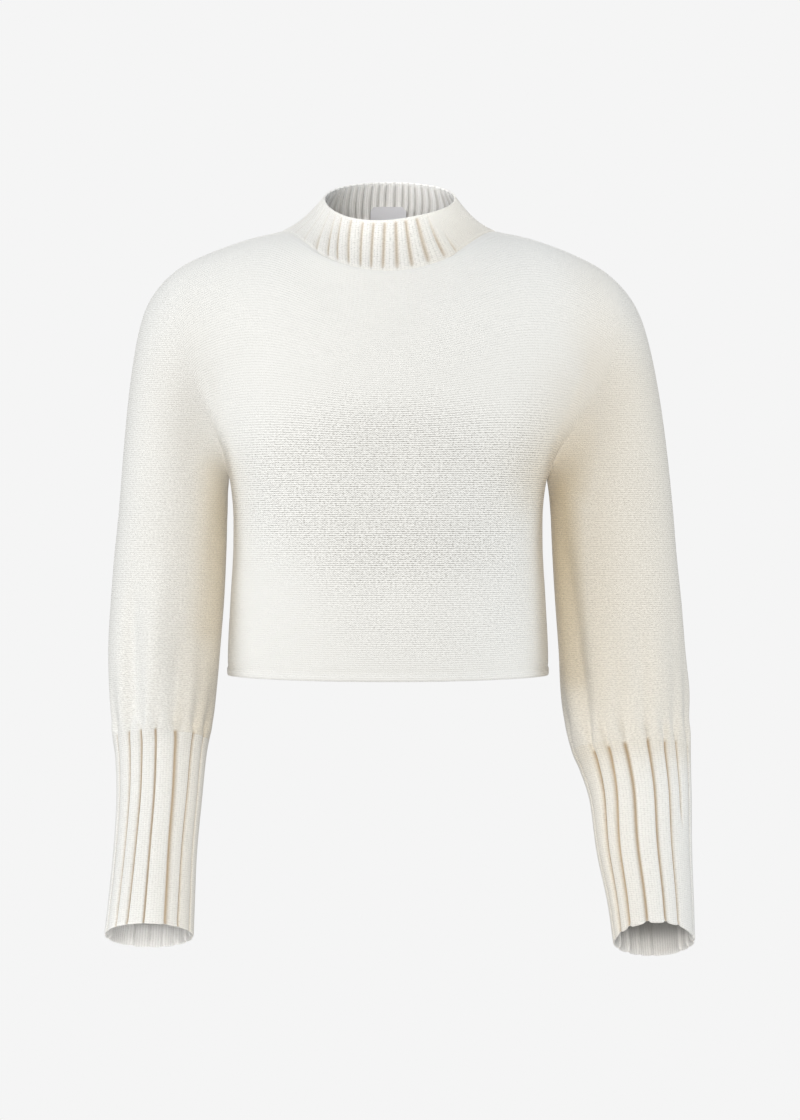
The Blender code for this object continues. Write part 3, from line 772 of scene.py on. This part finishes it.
class Fine:
    """A piece's fine grid: places, normals and what its rows and columns count, before it has relief.
    Where place is given, it says where in each row the columns of a ring lie."""

    def __init__(self, piece, fine, place=None):
        self.ring, self.facing = piece.ring, piece.facing
        last_row, net_columns = len(piece.rows) - 1, len(piece.columns)
        rows = steps(0, last_row, round(last_row * fine[0]))
        if piece.ring:
            columns = np.arange(round(net_columns * fine[1])) / fine[1]
            self.column_at = columns / net_columns
        else:
            columns = steps(0, net_columns - 1, round((net_columns - 1) * fine[1]))
            self.column_at = np.interp(columns, np.arange(net_columns), piece.columns)
        self.row_at = np.interp(rows, np.arange(last_row + 1), piece.rows)[:, None]
        self.points = resample(piece.points, rows, columns, piece.ring)
        self.normals = resample(piece.normals, rows, columns, piece.ring)
        if place:
            at = place(self.column_at, self.row_at) * len(columns)
            self.points = np.stack([between(row, row_at, True) for row, row_at in zip(self.points, at)])
            self.normals = np.stack([between(row, row_at, True) for row, row_at in zip(self.normals, at)])
        self.normals = unit(self.normals)
        self.to_start = lengths(self.points, 0)
        self.to_end = self.to_start[-1:] - self.to_start

    def across(self):
        """The distance along each row from its first column; on a ring up to its first column again."""
        return lengths(closed(self.points) if self.ring else self.points, 1)

    def to_side(self):
        """For a panel, the distance from each point to its nearer side edge."""
        across = self.across()
        return np.minimum(across, across[:, -1:] - across)


def lengths(points, axis):
    """The distance from the first row or column, along the grid."""
    pace = np.linalg.norm(np.diff(points, axis=axis), axis=-1)
    return np.cumsum(np.insert(pace, 0, 0, axis=axis), axis=axis)


def rounded_edge(outer, inner, row, sign):
    """The points round a free edge, from the outer skin to the lining."""
    beyond = unit(np.gradient(outer, axis=0))[row] * sign
    middle, half = (outer[row] + inner[row]) / 2, (outer[row] - inner[row]) / 2
    reach = np.linalg.norm(half, axis=-1, keepdims=True)
    return np.array([middle + half * math.cos(turn) + beyond * reach * math.sin(turn) for turn in EDGE_TURNS])


def side_faces(line, skin_rows, last_rows):
    """The faces that close a panel's side, from the point numbers down its loop of rows."""
    skin = line[:skin_rows]
    lining = line[skin_rows + last_rows : 2 * skin_rows + last_rows][::-1]
    for k in range(skin_rows - 1):
        yield [skin[k], skin[k + 1], lining[k + 1], lining[k]]
    if last_rows:
        yield [skin[-1], *line[skin_rows : skin_rows + last_rows], lining[-1]]
    if len(line) > 2 * skin_rows + last_rows:
        yield [lining[0], *line[2 * skin_rows + last_rows :], skin[0]]


def add_object(name, data, place=(0, 0, 0), aim=None):
    """Adds an object to the scene, turned to a point if aim is given."""
    made = bpy.data.objects.new(name, data)
    made.location = place
    if aim is not None:
        made.rotation_euler = (Vector(aim) - made.location).to_track_quat("-Z", "Y").to_euler()
    bpy.context.scene.collection.objects.link(made)
    return made


def add_cloth(name, points, faces, material, sharp):
    """Adds a smooth mesh, with an edge where its faces meet more steeply than sharp."""
    mesh = bpy.data.meshes.new(name)
    mesh.from_pydata(points.reshape(-1, 3).tolist(), [], faces)
    mesh.shade_smooth()
    mesh.set_sharp_from_angle(angle=sharp)
    mesh.materials.append(material)
    return add_object(name, mesh)


def shell(name, fine, relief, knit, marks, free_edges, material, shift=0):
    """Makes a piece's closed shell. relief is how far each point stands out; knit is the stitches' u and v
    there, with one more column on a ring; marks are values for the material; free_edges says whether the
    first and the last row are free; shift moves the points."""
    outer = fine.points + fine.normals * relief[..., None] + shift
    inner = outer - fine.normals * WALL
    none = outer[:0]
    first = rounded_edge(outer, inner, 0, -1) if free_edges[0] else none
    last = rounded_edge(outer, inner, -1, 1) if free_edges[1] else none
    # The rows in order: down the skin, round the last edge, back up the lining and round the first edge.
    loop = np.concatenate([outer, last, inner[::-1], first[::-1]])
    count = len(outer)
    source = np.r_[np.arange(count), [count - 1] * len(last), np.arange(count)[::-1], [0] * len(first)]
    source = source.astype(int)
    turned = np.array(EDGE_TURNS) / math.pi
    inside = np.r_[np.zeros(count), turned[: len(last)], np.ones(count), turned[: len(first)][::-1]]

    rows, columns = loop.shape[:2]
    numbers = np.arange(rows * columns).reshape(rows, columns)
    start = numbers if fine.ring else numbers[:, :-1]
    after = np.roll(numbers, -1, axis=1) if fine.ring else numbers[:, 1:]
    faces = np.stack([start, after, np.roll(after, -1, axis=0), np.roll(start, -1, axis=0)], axis=-1)
    row, column = np.indices(start.shape)
    corner_rows = source[np.stack([row, row, (row + 1) % rows, (row + 1) % rows], axis=-1)]
    corner_columns = np.stack([column, column + 1, column + 1, column], axis=-1)
    corners = np.stack([u[corner_rows, corner_columns] for u in knit], axis=-1).reshape(-1, 4, 2)
    corners = corners[:, :: fine.facing].reshape(-1, 2)
    faces = faces.reshape(-1, 4)[:, :: fine.facing].tolist()
    if not fine.ring:
        for side, way in ((0, 1), (-1, -1)):
            line = numbers[:, side].tolist()
            closing = [face[:: way * fine.facing] for face in side_faces(line, count, len(last))]
            at = np.concatenate(closing)
            faces += closing
            closing_corners = np.stack([u[source[at // columns], at % columns] for u in knit], axis=-1)
            corners = np.concatenate([corners, closing_corners])

    made = add_cloth(name, loop, faces, material, SHARP)
    made.data.uv_layers.new(name="Knit").data.foreach_set("uv", corners.reshape(-1).astype(np.float32))
    values = {mark: np.broadcast_to(value, relief.shape)[source] for mark, value in marks.items()}
    values["inside"] = np.repeat(inside[:, None], columns, axis=1)
    for mark, value in values.items():
        attribute = made.data.attributes.new(mark, "FLOAT", "POINT")
        attribute.data.foreach_set("value", value.reshape(-1).astype(np.float32))
    return made


# ================================================================ relief of the pieces

def furrow(distance):
    """The dip of a seam, at a distance from it."""
    return -SEAM_DEPTH * hill(distance, SEAM_REACH)


def seam_share(points):
    """How much of a seam's dip shows: all of it up to the underarm, hardly any at the shoulder."""
    return mix(1, SEAM_TOP[0], ease((points[..., 2] - UNDERARM_HEIGHT) / SEAM_TOP[1]))


def clearness(points):
    """How clearly stitches stand out on the front: most across its middle, hardly on the chest."""
    clear = np.full(points.shape[:-1], CLEAR_CHEST)
    for x, z, reach_x, reach_z, amount in CLEAR_SPOTS:
        away = np.hypot((points[..., 0] - x) / reach_x, (points[..., 2] - z) / reach_z)
        clear += amount * ease((1 - away) * CLEAR_PACE)
    return clear


def line_distance(x, z, x0, z0, x1, z1):
    """The distance from a line in the plane, and how far along it the nearest place lies, from 0 to 1."""
    share = ((x - x0) * (x1 - x0) + (z - z0) * (z1 - z0)) / ((x1 - x0) ** 2 + (z1 - z0) ** 2)
    share = np.clip(share, 0, 1)
    return np.hypot(x - mix(x0, x1, share), z - mix(z0, z1, share)), share


def warmth(points):
    """How warm the painted light and shade are, by the distance from the garment's middle and along a few
    bands.
    """
    x, z = points[..., 0], points[..., 2]
    out = ease((np.abs(x) - WARM_REACH[0]) / (WARM_REACH[1] - WARM_REACH[0]))
    out = out * mix(1, WARM_TOP[2], ease((z - WARM_TOP[0]) / WARM_TOP[1]))
    painted_warmth = out * np.where(x < 0, WARM_SHARE[RIGHT], WARM_SHARE[LEFT])
    for *line, half_width, first, last in PAINTED_SHADE_BANDS:
        distance, share = line_distance(x, z, *line)
        painted_warmth = np.maximum(painted_warmth, mix(first, last, share) * hill(distance, half_width))
    return painted_warmth


def warm_inner(side, around):
    """How much more painted warm shade there is on the inner side of a sleeve or a cuff."""
    share, place, half_width = WARM_INNER[side]
    return share * hill(round_distance(around, place, 1), half_width)


def round_distance(around, place, girth):
    """The distance along a ring of that girth from its points to a place on it."""
    return ((around - place + 0.5) % 1 - 0.5) * girth


def cuff_relief(side, around, row):
    """How far ribs and gathers stand out round the end of a sleeve, and how much of a groove's painted shade
    a point gets. The grooves run down the cuff, and fade out up the sleeve as gathers."""
    relief = in_groove = np.zeros(np.broadcast(around, row).shape)
    down = np.clip((row - CUFF_SEAM_ROW) / (CUFF_END_ROW - CUFF_SEAM_ROW), 0, 1)
    above = np.clip((CUFF_SEAM_ROW - row) / GATHER_REACH[side], 0, None)
    widen, deepen, clear_up = (ease(above * pace) for pace in GATHER_PACE)
    for number, (top, rim, half_width, depth, end) in enumerate(CUFF_GROOVES[side]):
        distance = round_distance(around, mix(top, rim, ease(down)), CUFF_GIRTH)
        fade = 1 - ease((down - end) / GROOVE_END + 1)
        reach = 1 - ease(above * GATHER_ENDS[number % len(GATHER_ENDS)])
        strength = depth * fade * reach * mix(1, GATHER_SHARE, deepen)
        relief = relief - strength * hill(distance, mix(half_width, GATHER_WIDTH, widen))
        relief = relief - strength * RIDGE_SHARE * hill(distance, RIDGE_WIDTH)
        core = hill(distance, half_width * GROOVE_CORE) * fade * (1 - clear_up)
        if CUFF_SLANT[side] and top < SLANT_END:
            start = CUFF_SLANT[side] * ease((SLANT_END - top) / SLANT_REACH)
            core = core * ease((down - start) / SLANT_FADE + 0.5)
        in_groove = np.maximum(in_groove, core)
    return relief, in_groove


def fold_ends(share, start, end):
    """How a fold comes in and dies out: at each end how fast, and how much of it is there at once."""
    return ease(share * start[0] + start[1]) * ease((1 - share) * end[0] + end[1])


def sleeve_folds(side, around, row):
    """How far the soft folds of a sleeve stand out."""
    relief = 0
    for top, bottom, first, last, half_width, depth in SLEEVE_FOLDS[side]:
        share = (row - first) / (last - first)
        distance = round_distance(around, mix(top, bottom, np.clip(share, 0, 1)), SLEEVE_GIRTH)
        relief = relief + depth * fold_ends(share, *SLEEVE_FOLD_ENDS) * hill(distance, half_width)
    return relief


def torso_folds(face, across, level):
    """How far the soft folds of a panel stand out."""
    relief = 0
    x, z = across * PANEL_REACH, level * PANEL_RISE
    for x0, z0, x1, z1, half_width, depth in TORSO_FOLDS[face]:
        line = x0 * PANEL_REACH, z0 * PANEL_RISE, x1 * PANEL_REACH, z1 * PANEL_RISE
        distance, share = line_distance(x, z, *line)
        relief = relief + depth * hill(distance, half_width) * fold_ends(share, *TORSO_FOLD_ENDS)
    return relief


def panel(name, face, net, material):
    """The front or the back."""
    fine = Fine(net[name], PANEL_FINE)
    to_side, up, height = fine.to_side(), fine.to_start, fine.points[..., 2]
    relief = torso_folds(face, fine.column_at, fine.row_at)
    relief = relief * ease(to_side / FOLDS_FADE[0]) * ease(fine.to_end / FOLDS_FADE[1])
    relief = relief + furrow(to_side) * seam_share(fine.points) + furrow(fine.to_end) * SEAM_SHOULDER
    relief = relief + HEM_FULLNESS * (1 - ease((up - HEM_EDGE) / HEM_STEP))
    relief = relief - HEM_FULLNESS * hill(up - HEM_EDGE - HEM_DENT[0], HEM_DENT[1])
    shift = np.zeros(fine.points.shape)
    to_corner = np.clip(1 - to_side / HEM_CORNER[1], 0, 1)
    shift[..., 2] = HEM_CORNER[0] * to_corner**2 * (1 - ease(up / HEM_CORNER[2]))
    middle = slice(fine.points.shape[1] // 2, fine.points.shape[1] // 2 + 1)
    across = fine.across()
    knit = across - across[:, middle], np.broadcast_to(up[:, middle], relief.shape)
    clear = clearness(fine.points) if face == FRONT else CLEAR_BACK
    # Painted light towards the side seams, where the sleeves shade the panels.
    painted_light = hill(to_side, PALE_SIDE[0]) * (1 - ease((height - UNDERARM_HEIGHT) / PALE_SIDE[1]))
    marks = {"clear": clear, "fleck": clear, "painted_warmth": warmth(fine.points), "painted_light": painted_light}
    return shell(name + "_shell", fine, relief, knit, marks, (True, False), material, shift)


def around_once(fine, girth):
    """Across the stitches of a ring, with one more column where it closes."""
    return np.broadcast_to(np.r_[fine.column_at, 1] * girth, (len(fine.points), len(fine.column_at) + 1))


def sleeve_shell(name, side, net, material):
    fine = Fine(net[name], SLEEVE_FINE)
    around, row = fine.column_at, fine.row_at
    relief, groove = cuff_relief(side, around, row)
    relief = relief + sleeve_folds(side, around, row) + furrow(fine.to_start) * seam_share(fine.points)
    first_ring = int(np.argmin(np.abs(row[:, 0])))
    across = fine.across()
    knit = across - across[:, -1:] / 2, closed(fine.to_start - fine.to_start[first_ring])
    # Painted warm light and shade, with more on the sleeve's inner side.
    fade = mix(1, WARM_LOW[side], ease((row - WARM_LOW_ROWS[0]) / WARM_LOW_ROWS[1])) * ease(row + 1)
    painted_warmth = warmth(fine.points) + warm_inner(side, around) * fade
    marks = {"groove": groove, "clear": CLEAR_SLEEVE, "fleck": FLECK_SLEEVE, "painted_warmth": painted_warmth}
    return shell(name + "_shell", fine, relief, knit, marks, (False, False), material)


def cuff_shell(name, side, net, material):
    fine = Fine(net[name], CUFF_FINE)
    around, row = fine.column_at, fine.row_at
    below = row - CUFF_SEAM_ROW
    relief, groove = cuff_relief(side, around, row)
    relief = relief + sleeve_folds(side, around, row) * ease(1 - below)
    # The rim hangs a little lower at the ridges than at the grooves between them.
    ridge = 1 - np.clip(-relief / RIDGE_HEIGHT, 0, 1)
    in_front = np.clip(np.sin(2 * math.pi * around), 0, 1)
    wave = mix(RIM_WAVE_BACK, RIM_WAVE[side], ease(in_front * RIM_WAVE_PACE))
    fall = wave * (ridge - 0.5) - RIM_ARCH[side] * in_front**RIM_ARCH_POWER
    fall = fall * ease((row - CUFF_END_ROW) / RIM_ROWS + 1)
    shift = unit(np.gradient(fine.points, axis=0)) * fall[..., None]
    relief = relief * mix(1, RIM_FLAT[0], ease((row - CUFF_END_ROW) / RIM_FLAT[1] + 1))
    # Painted warm light and shade on the cuff.
    painted_warmth = warmth(fine.points) * mix(1, WARM_CUFF[side], ease(below / WARM_CUFF_ROWS))
    painted_warmth = painted_warmth + warm_inner(side, around) * WARM_CUFF_INNER
    lit, fades = CUFF_DEPTH[side]
    marks = {"groove": groove, "clear": CLEAR_RIB, "fleck": CLEAR_RIB, "painted_warmth": painted_warmth}
    # Painted shade deep inside the cuff, and painted light on the cuff below its seam.
    marks |= {"deep": ease((fine.to_end - lit) / fades), "painted_light": ease(below / PALE_ROWS)}
    knit = around_once(fine, CUFF_GIRTH), closed(fine.to_start)
    return shell(name + "_shell", fine, relief, knit, marks, (False, True), material, shift)


def rib_place(around, up):
    """Where a place counted in ribs lies round the collar."""
    for waves, share, start in RIB_UNEVEN:
        around = around + share / COLLAR_RIBS * np.sin(2 * math.pi * waves * around + start)
    place = around - RIB_STRETCH * np.cos(2 * math.pi * around) / (2 * math.pi)
    from_middle = (place - 0.25) * 4 * math.pi
    bend = np.sin(from_middle) + RIB_FAN_SECOND / 2 * np.sin(2 * from_middle)
    at_left = (place > 0.25) & (place < 0.5)
    return place - np.where(at_left, RIB_FAN[1], RIB_FAN[0]) * (1 - up) * bend / (4 * math.pi)


def rib_strength(around, up):
    """How deep the collar's ribs are: they flatten over the shoulders, and at the collar's edges."""
    sideways = np.abs((around * 2) % 1 - 0.5) * 2
    at_right = (np.cos(2 * math.pi * around) > 0)[..., None]
    low, high, left_over, over = np.moveaxis(np.where(at_right, RIB_FLAT[RIGHT], RIB_FLAT[LEFT]), -1, 0)
    behind = ease(-np.sin(2 * math.pi * around) * RIB_BACK_PACE)
    flat, left_over, over = (
        mix(front, back, behind) for front, back in zip((mix(low, high, up), left_over, over), RIB_FLAT_BACK)
    )
    strength = mix(1, left_over, ease((sideways - flat) / over))
    return strength * ease(up / RIB_FADE[0]) * ease((1 - up) / RIB_FADE[1]), sideways


def collar_shell(net, material):
    fine = Fine(net["collar"], COLLAR_FINE, rib_place)
    ribs, up = fine.column_at, fine.row_at
    around = rib_place(ribs, up)
    to_groove = (ribs * COLLAR_RIBS) % 1 - 0.5
    strength, sideways = rib_strength(around, up)
    relief = -RIB_DEPTH * strength * (hill(to_groove, RIB_GROOVE) - RIB_GROOVE)
    relief = relief + furrow(fine.to_start) * mix(1, SEAM_NECK_SIDES, sideways)
    # Painted shade in the ribs' grooves.
    tint_width = mix(RIB_TINT[0], RIB_TINT[1], hill(around - RIB_TINT_WIDE[0], RIB_TINT_WIDE[1]))
    painted_groove_shade = hill(to_groove, tint_width) * strength**RIB_TINT_POWER * RIB_TINT[2]
    painted_groove_shade = painted_groove_shade * mix(RIB_TINT_LOW[0], 1, ease(up / RIB_TINT_LOW[1]))
    # Painted warm light, more of it on the collar's left.
    left = ease((fine.points[..., 0] - WARM_COLLAR_REACH[0]) / WARM_COLLAR_REACH[1])
    clear = mix(CLEAR_FLAT, 1, strength) * CLEAR_COLLAR
    marks = {"groove": painted_groove_shade, "clear": clear, "fleck": clear, "line": hill(to_groove, RIB_LINE), "painted_light": 1}
    marks["painted_warmth"] = mix(WARM_COLLAR[RIGHT], WARM_COLLAR[LEFT], left)
    knit = around_once(fine, COLLAR_RIBS * WALES_IN_RIB * WALE), closed(fine.to_start)
    return shell("collar_shell", fine, relief, knit, marks, (False, True), material)


def label_tab(material):
    """The neck label: a satin tab that hangs inside the back neck."""
    drop = steps(0, 1, LABEL_STEPS)[:, None]
    x = np.interp(drop, *np.transpose(LABEL_ROWS)) * steps(-1, 1, LABEL_COLUMNS)
    across = np.arcsin(x / NECK_HALF_WIDTH) * 2 / math.pi
    tab = mix(collar((3 - across) / 4, LABEL_TOP), torso(BACK, across / 2, LABEL_BOTTOM), drop[..., None])
    tab[..., 0] = x
    down, sideways = np.gradient(tab, axis=(0, 1))
    normals = unit(np.cross(sideways, down))
    normals = normals * np.sign(normals[0, 0, 1])
    tab = tab - normals * (WALL + LABEL_CLEARANCE)
    numbers = np.arange(x.size).reshape(x.shape)
    rim = np.r_[numbers[0], numbers[1:, -1], numbers[-1, -2::-1], numbers[-2:0:-1, 0]]
    after = np.roll(rim, -1)
    face, edge = quads(numbers), np.stack([after, rim, rim + x.size, after + x.size], axis=-1)
    faces = np.concatenate([face, face[:, ::-1] + x.size, edge]).tolist()
    points = np.array([tab, tab - normals * LABEL_WALL])
    return add_cloth("neck_label_tab", points, faces, material, LABEL_SHARP)


# ================================================================ materials

class Nodes:
    """The nodes of a material or a world: each call adds one and returns its result."""

    def __init__(self, tree):
        self.tree = tree

    def put(self, socket, value):
        """Sets a socket to a number or a colour, or links a result to it."""
        if isinstance(value, bpy.types.NodeSocket):
            self.tree.links.new(value, socket)
        else:
            socket.default_value = (*value, 1) if isinstance(value, tuple) else value

    def add(self, kind, inputs, output=0, **settings):
        node = self.tree.nodes.new("ShaderNode" + kind)
        for name, value in settings.items():
            setattr(node, name, value)
        for socket, value in inputs.items():
            self.put(node.inputs[socket], value)
        return node.outputs[output]

    def __call__(self, operation, *values):
        """Arithmetic."""
        return self.add("Math", dict(enumerate(values)), operation=operation)

    def blend(self, a, b, share):
        """a where share is 0, b where it is 1."""
        return self("MULTIPLY_ADD", self("SUBTRACT", b, a), share, a)

    def wave(self, value, pace, kind="COSINE"):
        """A wave from 0 to 1, which repeats each 1 / pace."""
        return self("MULTIPLY_ADD", self(kind, self("MULTIPLY", value, 2 * math.pi * pace)), 0.5, 0.5)

    def noise(self, place, scale, detail):
        return self.add("TexNoise", {"Vector": place, "Scale": scale, "Detail": detail}, output="Fac")

    def colour(self, share, a, b, kind="MIX"):
        """Two colours mixed, or multiplied."""
        return self.add("Mix", {0: share, 6: a, 7: b}, output=2, data_type="RGBA", blend_type=kind)


def new_material(name):
    material = bpy.data.materials.new(name)
    material.use_nodes = True
    return material, Nodes(material.node_tree)


def finish_cloth(nodes, colour, height, depth, feel):
    """Joins a colour, a bump of that depth and plain values to the material's shader."""
    shader = nodes.tree.nodes["Principled BSDF"]
    bump = nodes.add("Bump", {"Strength": 1.0, "Distance": depth, "Height": height})
    for socket, value in {"Base Color": colour, "Normal": bump, **feel}.items():
        nodes.put(shader.inputs[socket], value)


def knitted(name, ribbed):
    """Soft wool: V stitches outside, the back of the stitches inside, and purl in the ribs' grooves."""
    material, nodes = new_material(name)
    leg_share = LEG_SHARE_RIB if ribbed else LEG_SHARE
    mean_height = MEAN_HEIGHT_RIB if ribbed else MEAN_HEIGHT
    knit = nodes.add("UVMap", {}, uv_map="Knit")
    across, up = (nodes.add("SeparateXYZ", {0: knit}, output=axis) for axis in ("X", "Y"))
    mark = {label: nodes.add("Attribute", {}, output="Fac", attribute_name=label) for label in MARKS}

    # The yarn wanders a little from a true grid.
    loose = nodes("MULTIPLY", nodes("SUBTRACT", nodes.noise(knit, WANDER_SCALE, 2), 0.5), WANDER)
    wales = nodes("ADD", nodes("DIVIDE", across, WALE), loose)
    courses = nodes("ADD", nodes("DIVIDE", up, COURSE), loose)

    # Each stitch has two legs that lean apart towards the top.
    leg = nodes("MULTIPLY", nodes("ABSOLUTE", nodes("SUBTRACT", nodes("FRACT", wales), 0.5)), 2)
    bow = nodes("SINE", nodes("MULTIPLY_ADD", leg, (1 - LEG_START) * math.pi, LEG_START * math.pi))
    along = nodes("FRACT", nodes("SUBTRACT", courses, nodes("MULTIPLY", leg, LEG_LEAN)))
    round_leg = nodes("POWER", bow, LEG_ROUND)
    round_along = nodes("POWER", nodes("SINE", nodes("MULTIPLY", along, math.pi)), STITCH_ROUND)
    stitch = nodes("MULTIPLY", round_along, nodes("MULTIPLY_ADD", round_leg, leg_share, 1 - leg_share))
    bars, beads = nodes.wave(courses, 1), nodes.wave(wales, 1)
    lining = purl = nodes("MULTIPLY", bars, nodes("MULTIPLY_ADD", beads, PURL_BEADS, 1 - PURL_BEADS))
    if ribbed:
        lining = nodes("MULTIPLY", beads, nodes("MULTIPLY_ADD", bars, LINING_BARS, 1 - LINING_BARS))
    height = nodes.blend(nodes.blend(stitch, purl, mark["groove"]), lining, mark["inside"])

    # Flecks of the yarn, and clouds in its tone.
    flecks = {"X": nodes("MULTIPLY", across, 1 / FLECK[0]), "Y": nodes("MULTIPLY", up, 1 / FLECK[1])}
    fleck = nodes.noise(nodes.add("CombineXYZ", flecks), 1, 2)
    grain = nodes("MULTIPLY", nodes("SUBTRACT", fleck, 0.5), GRAIN)
    tinge = nodes("MULTIPLY_ADD", nodes.noise(knit, CLOUD_SCALE, 3), CLOUD, 1 - CLOUD / 2)

    lines = nodes("MULTIPLY", nodes("SUBTRACT", mean_height, height), STITCH_SHADE)
    shade = nodes("MULTIPLY_ADD", lines, mark["clear"], nodes("MULTIPLY", grain, mark["fleck"]))
    # Painted shade that grows with how clearly the stitches stand out.
    mean = nodes("MULTIPLY_ADD", mark["clear"], CLEAR_SHADE, MEAN_SHADE)
    # Painted light: less of that colour towards the panels' sides, on the cuffs and on the collar.
    shade = nodes("ADD", shade, nodes("MULTIPLY_ADD", mark["painted_light"], MEAN_SHADE_RIB - MEAN_SHADE, mean))
    height = nodes("ADD", height, nodes("MULTIPLY", grain, -GRAIN_HEIGHT))
    colour = nodes.colour(shade, IVORY, IVORY_DEEP)
    grey = nodes.add("CombineColor", {0: tinge, 1: tinge, 2: tinge})
    colour = nodes.colour(1.0, colour, grey, "MULTIPLY")
    # Painted shade in the grooves of the collar and cuffs, and in the gathers just above the cuffs.
    colour = nodes.colour(nodes("MULTIPLY", mark["groove"], GROOVE_SHADE_SHARE), colour, GROOVE_SHADE)
    # Painted light and shade: a cool tint, warmer towards the sleeves, and warm shade where only light from
    # the cloth beside comes in.
    painted_tone = nodes.colour(mark["painted_warmth"], PAINTED_COOL_LIGHT, PAINTED_WARM_LIGHT)
    painted_tone = nodes.colour(nodes("SUBTRACT", mark["painted_warmth"], 1), painted_tone, PAINTED_WARM_SHADE)
    colour = nodes.colour(1.0, colour, painted_tone, "MULTIPLY")

    behind = nodes("SUBTRACT", mean_height, height) if ribbed else shade
    inner = nodes.colour(behind, INSIDE, INSIDE_DEEP)
    inner = nodes.colour(mark["line"], inner, INSIDE_LINE)
    # Painted shade deep inside the cuffs.
    inner = nodes.colour(mark["deep"], inner, INSIDE_PAINTED_SHADE)
    colour = nodes.colour(mark["inside"], colour, inner)
    finish_cloth(nodes, colour, height, STITCH_HEIGHT, WOOL)
    return material


def satin(name):
    """The label's plain satin: fine warp lines and a soft gloss."""
    material, nodes = new_material(name)
    place = nodes.add("TexCoord", {}, output="Object")
    sideways, up = (nodes.add("SeparateXYZ", {0: place}, output=axis) for axis in ("X", "Z"))
    warp, weft = nodes.wave(sideways, 1 / WARP, "SINE"), nodes.wave(up, 1 / WEFT, "SINE")
    weave = nodes.blend(warp, weft, WEFT_SHARE)
    colour = nodes.colour(weave, tuple(LABEL_DARK * c for c in LABEL_GREY), LABEL_GREY)
    finish_cloth(nodes, colour, weave, WEAVE_HEIGHT, SATIN)
    return material


# ================================================================ the studio

def add_camera():
    made = add_object("camera", bpy.data.cameras.new("camera"), CAMERA_PLACE)
    made.data.lens = CAMERA_LENS
    made.rotation_euler = (math.pi / 2, 0, 0)
    bpy.context.scene.camera = made


def add_floor():
    """A pale floor without an edge: it shines evenly, so that it runs into the pale backdrop."""
    material, nodes = new_material("pale_floor")
    nodes.tree.nodes.clear()
    shine = nodes.add("Emission", {"Color": PALE})
    nodes.put(nodes.tree.nodes.new("ShaderNodeOutputMaterial").inputs[0], shine)
    turns = steps(0, 2 * math.pi, FLOOR_SIDES)[:-1]
    height = CAD_BOX[0].z - FLOOR_DROP
    mesh = bpy.data.meshes.new("floor")
    points = [(FLOOR_RADIUS * math.cos(t), FLOOR_RADIUS * math.sin(t), height) for t in turns]
    mesh.from_pydata(points, [], [range(FLOOR_SIDES)])
    mesh.materials.append(material)
    made = add_object("floor", mesh)
    for way in ("diffuse", "glossy", "transmission", "shadow", "volume_scatter"):
        setattr(made, f"visible_{way}", False)


def add_world():
    """An even pale backdrop for the camera, and dimmer walls that light the cloth."""
    world = bpy.data.worlds.new("studio")
    bpy.context.scene.world = world
    world.use_nodes = True
    nodes = Nodes(world.node_tree)
    walls = nodes.tree.nodes["Background"]
    nodes.put(walls.inputs["Color"], AMBIENT)
    backdrop = nodes.add("Background", {"Color": PALE})
    from_camera = nodes.add("LightPath", {}, output="Is Camera Ray")
    mixed = nodes.add("MixShader", {0: from_camera, 1: walls.outputs[0], 2: backdrop})
    nodes.put(nodes.tree.nodes["World Output"].inputs[0], mixed)


def add_lights():
    """Large soft panels, each turned to the middle of the sweater, and narrow spots."""
    low, high = CAD_BOX
    for name, place, size, colour, power in LIGHTS:
        lamp = bpy.data.lights.new(name, "AREA")
        lamp.shape, lamp.size, lamp.color, lamp.energy = "DISK", size, colour, power
        add_object(name, lamp, place, (low + high) / 2)
    for name, place, target, cone, power in SPOTS:
        lamp = bpy.data.lights.new(name, "SPOT")
        lamp.energy, lamp.spot_size, lamp.spot_blend, lamp.shadow_soft_size = power, cone, 1.0, SPOT_SIZE
        add_object(name, lamp, place, target)


# ================================================================ the scene

def build():
    net = cut_net()
    soften(net)
    jersey, rib = knitted("jersey", ribbed=False), knitted("rib", ribbed=True)
    made = {
        "front": panel("front", FRONT, net, jersey),
        "back": panel("back", BACK, net, jersey),
        "collar": collar_shell(net, rib),
        "sleeve_right": sleeve_shell("sleeve_right", RIGHT, net, jersey),
        "cuff_right": cuff_shell("cuff_right", RIGHT, net, rib),
        "sleeve_left": sleeve_shell("sleeve_left", LEFT, net, jersey),
        "cuff_left": cuff_shell("cuff_left", LEFT, net, rib),
        "neck_label": label_tab(satin("satin")),
    }
    for node, piece in made.items():
        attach(piece, "root")
        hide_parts(node)


add_camera()
add_floor()
add_world()
add_lights()
build()
bpy.context.scene.view_settings.view_transform = "Standard"
